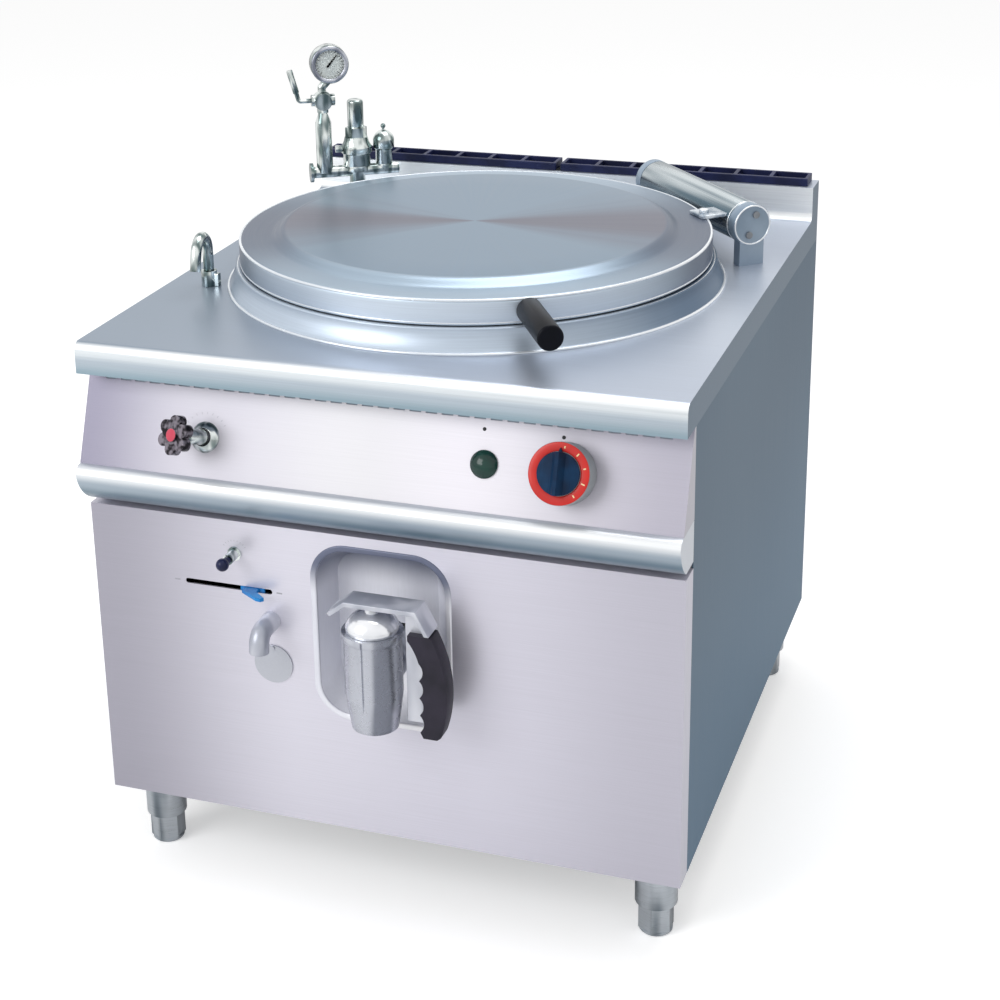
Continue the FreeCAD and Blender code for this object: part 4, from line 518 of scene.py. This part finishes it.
# Safety group, spout and taps
# Cast or drawn brass, polished and chromed, so it takes up its surroundings like a mirror. The upright
# pipes stand on the worktop with round flanges, and the gauge's dial lies behind a flat glass pane. The
# light and dark clouds in their colours are painted reflections, and the tap's near-white dome is a painted
# highlight.
chrome_finish = brushed("polished_chrome", tone(228, 234, 232), tone(104, 120, 120), (120.0, 120.0, 120.0),
                        0.12, 1.0, streak=0.08, cloud=(90.0, 90.0, 28.0), mark=0.01)
tap_finish = brushed("polished_tap", tone(196, 199, 208), tone(128, 132, 144), all_ways, 0.26, 0.75,
                     streak=0.08, cloud=(42.0, 42.0, 1.5), mark=0.01)
# Painted highlight: the tap's dome is near white.
dome_finish = brushed("painted_highlight_dome", tone(246, 247, 250), tone(206, 210, 218), all_ways, 0.12, 0.7,
                      streak=0.05, cloud=(30.0, 30.0, 30.0), mark=0.01)
dress(chrome_finish, "safety_manifold", "gauge_cock", "cock_lever", "gauge_case", "relief_valve",
      "relief_cap", "vent_valve", "spout_base", "filling_spout", "inlet_valve", "level_valve", edge=0.0005)
dress(tap_finish, "tap_body", edge=0.0012)
satin_finish = brushed("satin_nickel", tone(216, 218, 226), tone(168, 172, 184), all_ways, 0.34, 0.45,
                       streak=0.05, cloud=(34.0, 34.0, 12.0), mark=0.01)
dress(satin_finish, "overflow_elbow", "tap_lever", edge=0.001)
dress(dome_finish, "tap_plug", edge=0.0012)
dress(brushed("window_disc", tone(206, 208, 214), tone(186, 189, 198), (300.0, 300.0, 300.0), 0.3, 0.6,
              streak=0.08), "window_cover", edge=0.0005)


def moulded(name, colour, other, rough, grit=700.0, mark=0.15, coat=0.0, gleam=0.3):
    """Moulded plastic or rubber: fine grit in the surface, and a broad change between two near colours."""
    made = bpy.data.materials.new(name)
    made.use_nodes = True
    tree = made.node_tree
    tree.nodes.clear()
    place = put(tree, "TexCoord").outputs["Object"]
    grain = put(tree, "TexNoise", {"Vector": place, "Scale": grit, "Detail": 3.0})
    broad = put(tree, "TexNoise", {"Vector": place, "Scale": 30.0, "Detail": 2.0})
    part = put(tree, "MapRange", {0: broad.outputs[0], 1: 0.35, 2: 0.65})
    mixed = put(tree, "Mix", {0: part.outputs[0], 6: colour, 7: other}, data_type="RGBA")
    coarse = put(tree, "MapRange", {0: grain.outputs[0], 3: rough - 0.06, 4: rough + 0.08})
    dent = put(tree, "Bump", {"Height": grain.outputs[0], "Strength": mark, "Distance": 0.0003})
    skin = put(tree, "BsdfPrincipled", {"Base Color": mixed.outputs[2], "Roughness": coarse.outputs[0],
                                        "Coat Weight": coat, "Specular IOR Level": gleam,
                                        "Normal": dent.outputs[0]})
    put(tree, "OutputMaterial", {0: skin.outputs[0]})
    return made


glass_finish = bpy.data.materials.new("gauge_pane")
glass_finish.use_nodes = True
pane = glass_finish.node_tree
pane.nodes.clear()
pane_place = put(pane, "TexCoord").outputs["Object"]
pane_wave = put(pane, "TexNoise", {"Vector": pane_place, "Scale": 60.0})
pane_rough = put(pane, "MapRange", {0: pane_wave.outputs[0], 3: 0.0, 4: 0.04})
pane_skin = put(pane, "BsdfPrincipled", {"Base Color": (0.97, 0.98, 0.98, 1.0), "IOR": 1.1,
                                         "Roughness": pane_rough.outputs[0], "Transmission Weight": 1.0})
put(pane, "OutputMaterial", {0: pane_skin.outputs[0]})
dress(glass_finish, "gauge_glass", edge=0.0)

# Handles and knobs
# Black thermoset handles, a red graded knob with a dark grip, a green lamp lens and a blue dipped lever.
# The inlet wheel is dark chrome with a red cap. Scales and dots are printed on the sheet.
dress(moulded("black_handle", tone(6, 10, 22), tone(3, 5, 12), 0.36, gleam=0.12), "lid_handle", edge=0.002)
dress(moulded("black_grip", tone(42, 38, 52), tone(28, 26, 38), 0.5), "tap_grip", edge=0.003)
dress(moulded("navy_ball", tone(20, 30, 74), tone(12, 18, 50), 0.3), "level_knob", edge=0.0)
# Painted reflections: the wheel's dark chrome is clouded light and dark.
dress(brushed("dark_chrome_wheel", tone(132, 126, 136), tone(22, 18, 26), all_ways, 0.22, 0.6,
              streak=0.05, cloud=(150.0, 150.0, 150.0), mark=0.01), "inlet_knob", edge=0.001)
dress(moulded("grey_skirt", tone(160, 166, 168), tone(134, 142, 146), 0.35), "knob_skirt", edge=0.001)
dress(moulded("petrol_grip", tone(8, 50, 84), tone(8, 26, 50), 0.5, gleam=0.15), "knob_grip", edge=0.001)
sideways = np.array(across_x)
knob_at = np.array([0.2505, -0.38104, 0.6528])
red_print = moulded("red_dial", tone(208, 40, 32), tone(194, 34, 28), 0.35, coat=0.15)
pale_print = moulded("pale_print", tone(240, 226, 180), tone(232, 214, 160), 0.4)
black_print = moulded("black_print", tone(34, 34, 36), tone(26, 26, 28), 0.4)
print_height = 0.00008
grey_print = moulded("grey_print", tone(172, 172, 180), tone(160, 160, 170), 0.4)
pink_print = moulded("pink_print", tone(214, 96, 112), tone(196, 66, 88), 0.35)
slope = np.linspace(0.0, 2.0 * np.pi, 24, endpoint=False)
band = np.stack([0.0321 + 0.0055 * np.cos(slope), 0.0330 + 0.0007 * np.sin(slope)], 1)
spun("red_dial_ring", band, knob_at, panel_out, "energy_control", red_print, 128, True)


def on_knob(clock, radius, height):
    """The point of the knob's face at that clock angle, clockwise from the top."""
    turn = np.radians(clock)[..., None]
    return knob_at + radius * (np.sin(turn) * sideways + np.cos(turn) * panel_up) + height * panel_out


steps = np.array([8.0, 41.0, 74.0, 107.0, 140.0])
rays = on_knob(steps, 1.0, 0.0) - knob_at
bars("dial_marks", on_knob(steps, 0.0322, 0.0337), rays, [0.0028, 0.0042, 0.0032, 0.0046, 0.0036], 0.0016,
     panel_out, 0.00012, "energy_control", pale_print)
spun("grip_dot", bead(0.0026, 0.0004, 0.0003), on_knob(np.array([-38.0]), 0.0175, 0.0371)[0], panel_out,
     "energy_control", pink_print, 24)
gauge_mid = np.array([-0.32001, 0.28283, 0.994])
gauge_out = np.array([0.50904, -0.86074, 0.0])
gauge_side = np.array([0.86074, 0.50904, 0.0])
gauge_face = gauge_mid + 0.006 * gauge_out
spun("gauge_dial", bead(0.0262, 0.0002, 0.0001), gauge_face, gauge_out, "cabinet",
     moulded("dial_enamel", tone(226, 230, 228), tone(214, 220, 219), 0.4, 200.0, 0.01), 64)
bezel = np.stack([0.0252 + 0.0034 * np.cos(ring_turn), 0.0118 + 0.0018 * np.sin(ring_turn)], 1)
spun("gauge_bezel", bezel, gauge_mid, gauge_out, "cabinet", tap_finish, 64, True)
tick_count, half_sweep = 21, 135.0
turns = np.radians(np.linspace(-half_sweep, half_sweep, tick_count))[:, None]
spokes = np.sin(turns) * gauge_side + np.cos(turns) * np.array(straight_up)
longer = np.arange(tick_count) % 5 == 0
bars("gauge_ticks", gauge_face + spokes * np.where(longer, 0.0186, 0.0194)[:, None], spokes,
             np.where(longer, 0.0052, 0.0032), 0.0007, gauge_out, 0.00032, "cabinet", black_print)
wheel_way = np.array([-0.34202, -0.87498, 0.34269])
wheel_at = np.array([-0.226, -0.3837, 0.646])
spun("wheel_cap", bead(0.0082, 0.0009, 0.0008), wheel_at + 0.0599 * wheel_way, wheel_way, "inlet_wheel",
     pink_print, 32)
mark_count, half_fan = 9, 56.0
fan = np.radians(np.linspace(-half_fan, half_fan, mark_count))[:, None]
arc = np.sin(fan) * sideways + np.cos(fan) * panel_up
bars("inlet_scale", wheel_at + 0.031 * arc, arc, np.full(mark_count, 0.003), 0.0008, panel_out,
     print_height, "cabinet", grey_print)
front_out = np.array([0.0, -1.0, 0.0])
front_arc = np.sin(fan) * sideways + np.cos(fan) * np.array(straight_up)
level_at = np.array([-0.1935, front_y, 0.489])
bars("level_scale", level_at + 0.018 * front_arc, front_arc, np.full(mark_count, 0.0022), 0.0006,
     front_out, print_height, "cabinet", grey_print)
lever_slot_z = 0.4405
ends = np.array([[-0.279, front_y, lever_slot_z], [-0.133, front_y, lever_slot_z]])
bars("slot_marks", ends, np.tile(sideways, (2, 1)), np.full(2, 0.008), 0.002, front_out, print_height,
     "cabinet", grey_print)
panel_foot_y, panel_foot_z = ledge_y - 0.009, 0.598
for name, x, z in (("lamp_dot", 0.1435, 0.692), ("dial_dot", 0.2435, 0.6923)):
    y = panel_foot_y + (z - panel_foot_z) * panel_run / panel_rise
    spun(name, bead(0.0024, 0.0003, 0.0002), (x, y, z), panel_out, "cabinet", black_print, 24)
dress(moulded("green_lens", tone(14, 70, 58), tone(8, 48, 42), 0.2, coat=0.3), "signal_lamp", edge=0.0008)
dress(moulded("blue_lever", tone(34, 144, 216), tone(26, 112, 184), 0.35), "slide_lever", edge=0.0006)
dress(moulded("lid_seal_rubber", tone(190, 188, 180), tone(176, 174, 166), 0.5), "lid_seal", edge=0.0)
dress(moulded("needle_paint", tone(20, 20, 20), tone(28, 28, 28), 0.5), "gauge_needle", edge=0.0)

# Flue grids
# Two castings with a dark vitreous enamel, set in the top of the upstand. A blank of the same enamel lies
# under each, so that nothing shows through its openings: a dark sheet of painted shade where the flue
# below is in shade.
enamel = moulded("dark_enamel", tone(28, 36, 78), tone(18, 24, 56), 0.45, 250.0)
dress(enamel, "flue_grids", edge=0.001)
bars("grid_blanks", [[-0.2675, 0.4485, 0.8114], [0.2675, 0.4485, 0.8114]], [[1.0, 0.0, 0.0]] * 2,
             [0.235, 0.235], 0.029, (0.0, 0.0, 1.0), 0.0016, "cabinet", enamel)

# Feet
# Steel tubes under the cabinet, with turned adjusters that screw up into bushes at their lower ends, each
# with a hexagon for the spanner. Light and dark bands down their length are painted reflections.
foot_finish = brushed("turned_foot", tone(190, 196, 202), tone(112, 122, 130), (30.0, 30.0, 700.0), 0.28, 0.9,
                      streak=0.2, cloud=(40.0, 40.0, 8.0))
dress(foot_finish, "leg_tubes", "foot_front_left", "foot_front_right", "foot_rear_left", "foot_rear_right",
      edge=0.0012)

# Inside the cabinet
# The pot and its jacket are pickled stainless, with mineral wool round them. The burner, its casing, the
# flue and the frame are galvanised steel, and the gas and water pipes are copper.
# Painted light and shade on the pot's finish: lighter along toward, darker across it.
dress(turned_finish("pickled_pot", tone(186, 190, 196), tone(150, 156, 164), 0.35, 0.8, 0.12,
                    tone(180, 186, 192), tone(156, 162, 170)),
      "inner_vessel", "jacket_shell", "drain_pipe", edge=0.0)
dress(brushed("zinc_sheet", tone(150, 154, 158), tone(124, 128, 134), all_ways, 0.45, 0.7,
              cloud=(20.0, 20.0, 20.0)),
      "base_frame", "combustion_chamber", "flue_duct", "burner", "hinge_screws", "hinge_spring", edge=0.0)
dress(moulded("mineral_wool", tone(200, 190, 150), tone(180, 168, 128), 0.9, 90.0, 1.0), "insulation",
      edge=0.0)
dress(brushed("drawn_copper", tone(196, 128, 96), tone(160, 98, 70), (90.0, 90.0, 90.0), 0.3, 0.95),
      "gas_pipe", "water_pipe", edge=0.0)
dress(brushed("machined_brass", tone(196, 168, 100), tone(160, 134, 74), (90.0, 90.0, 90.0), 0.3, 0.95),
      "gas_valve", edge=0.0)
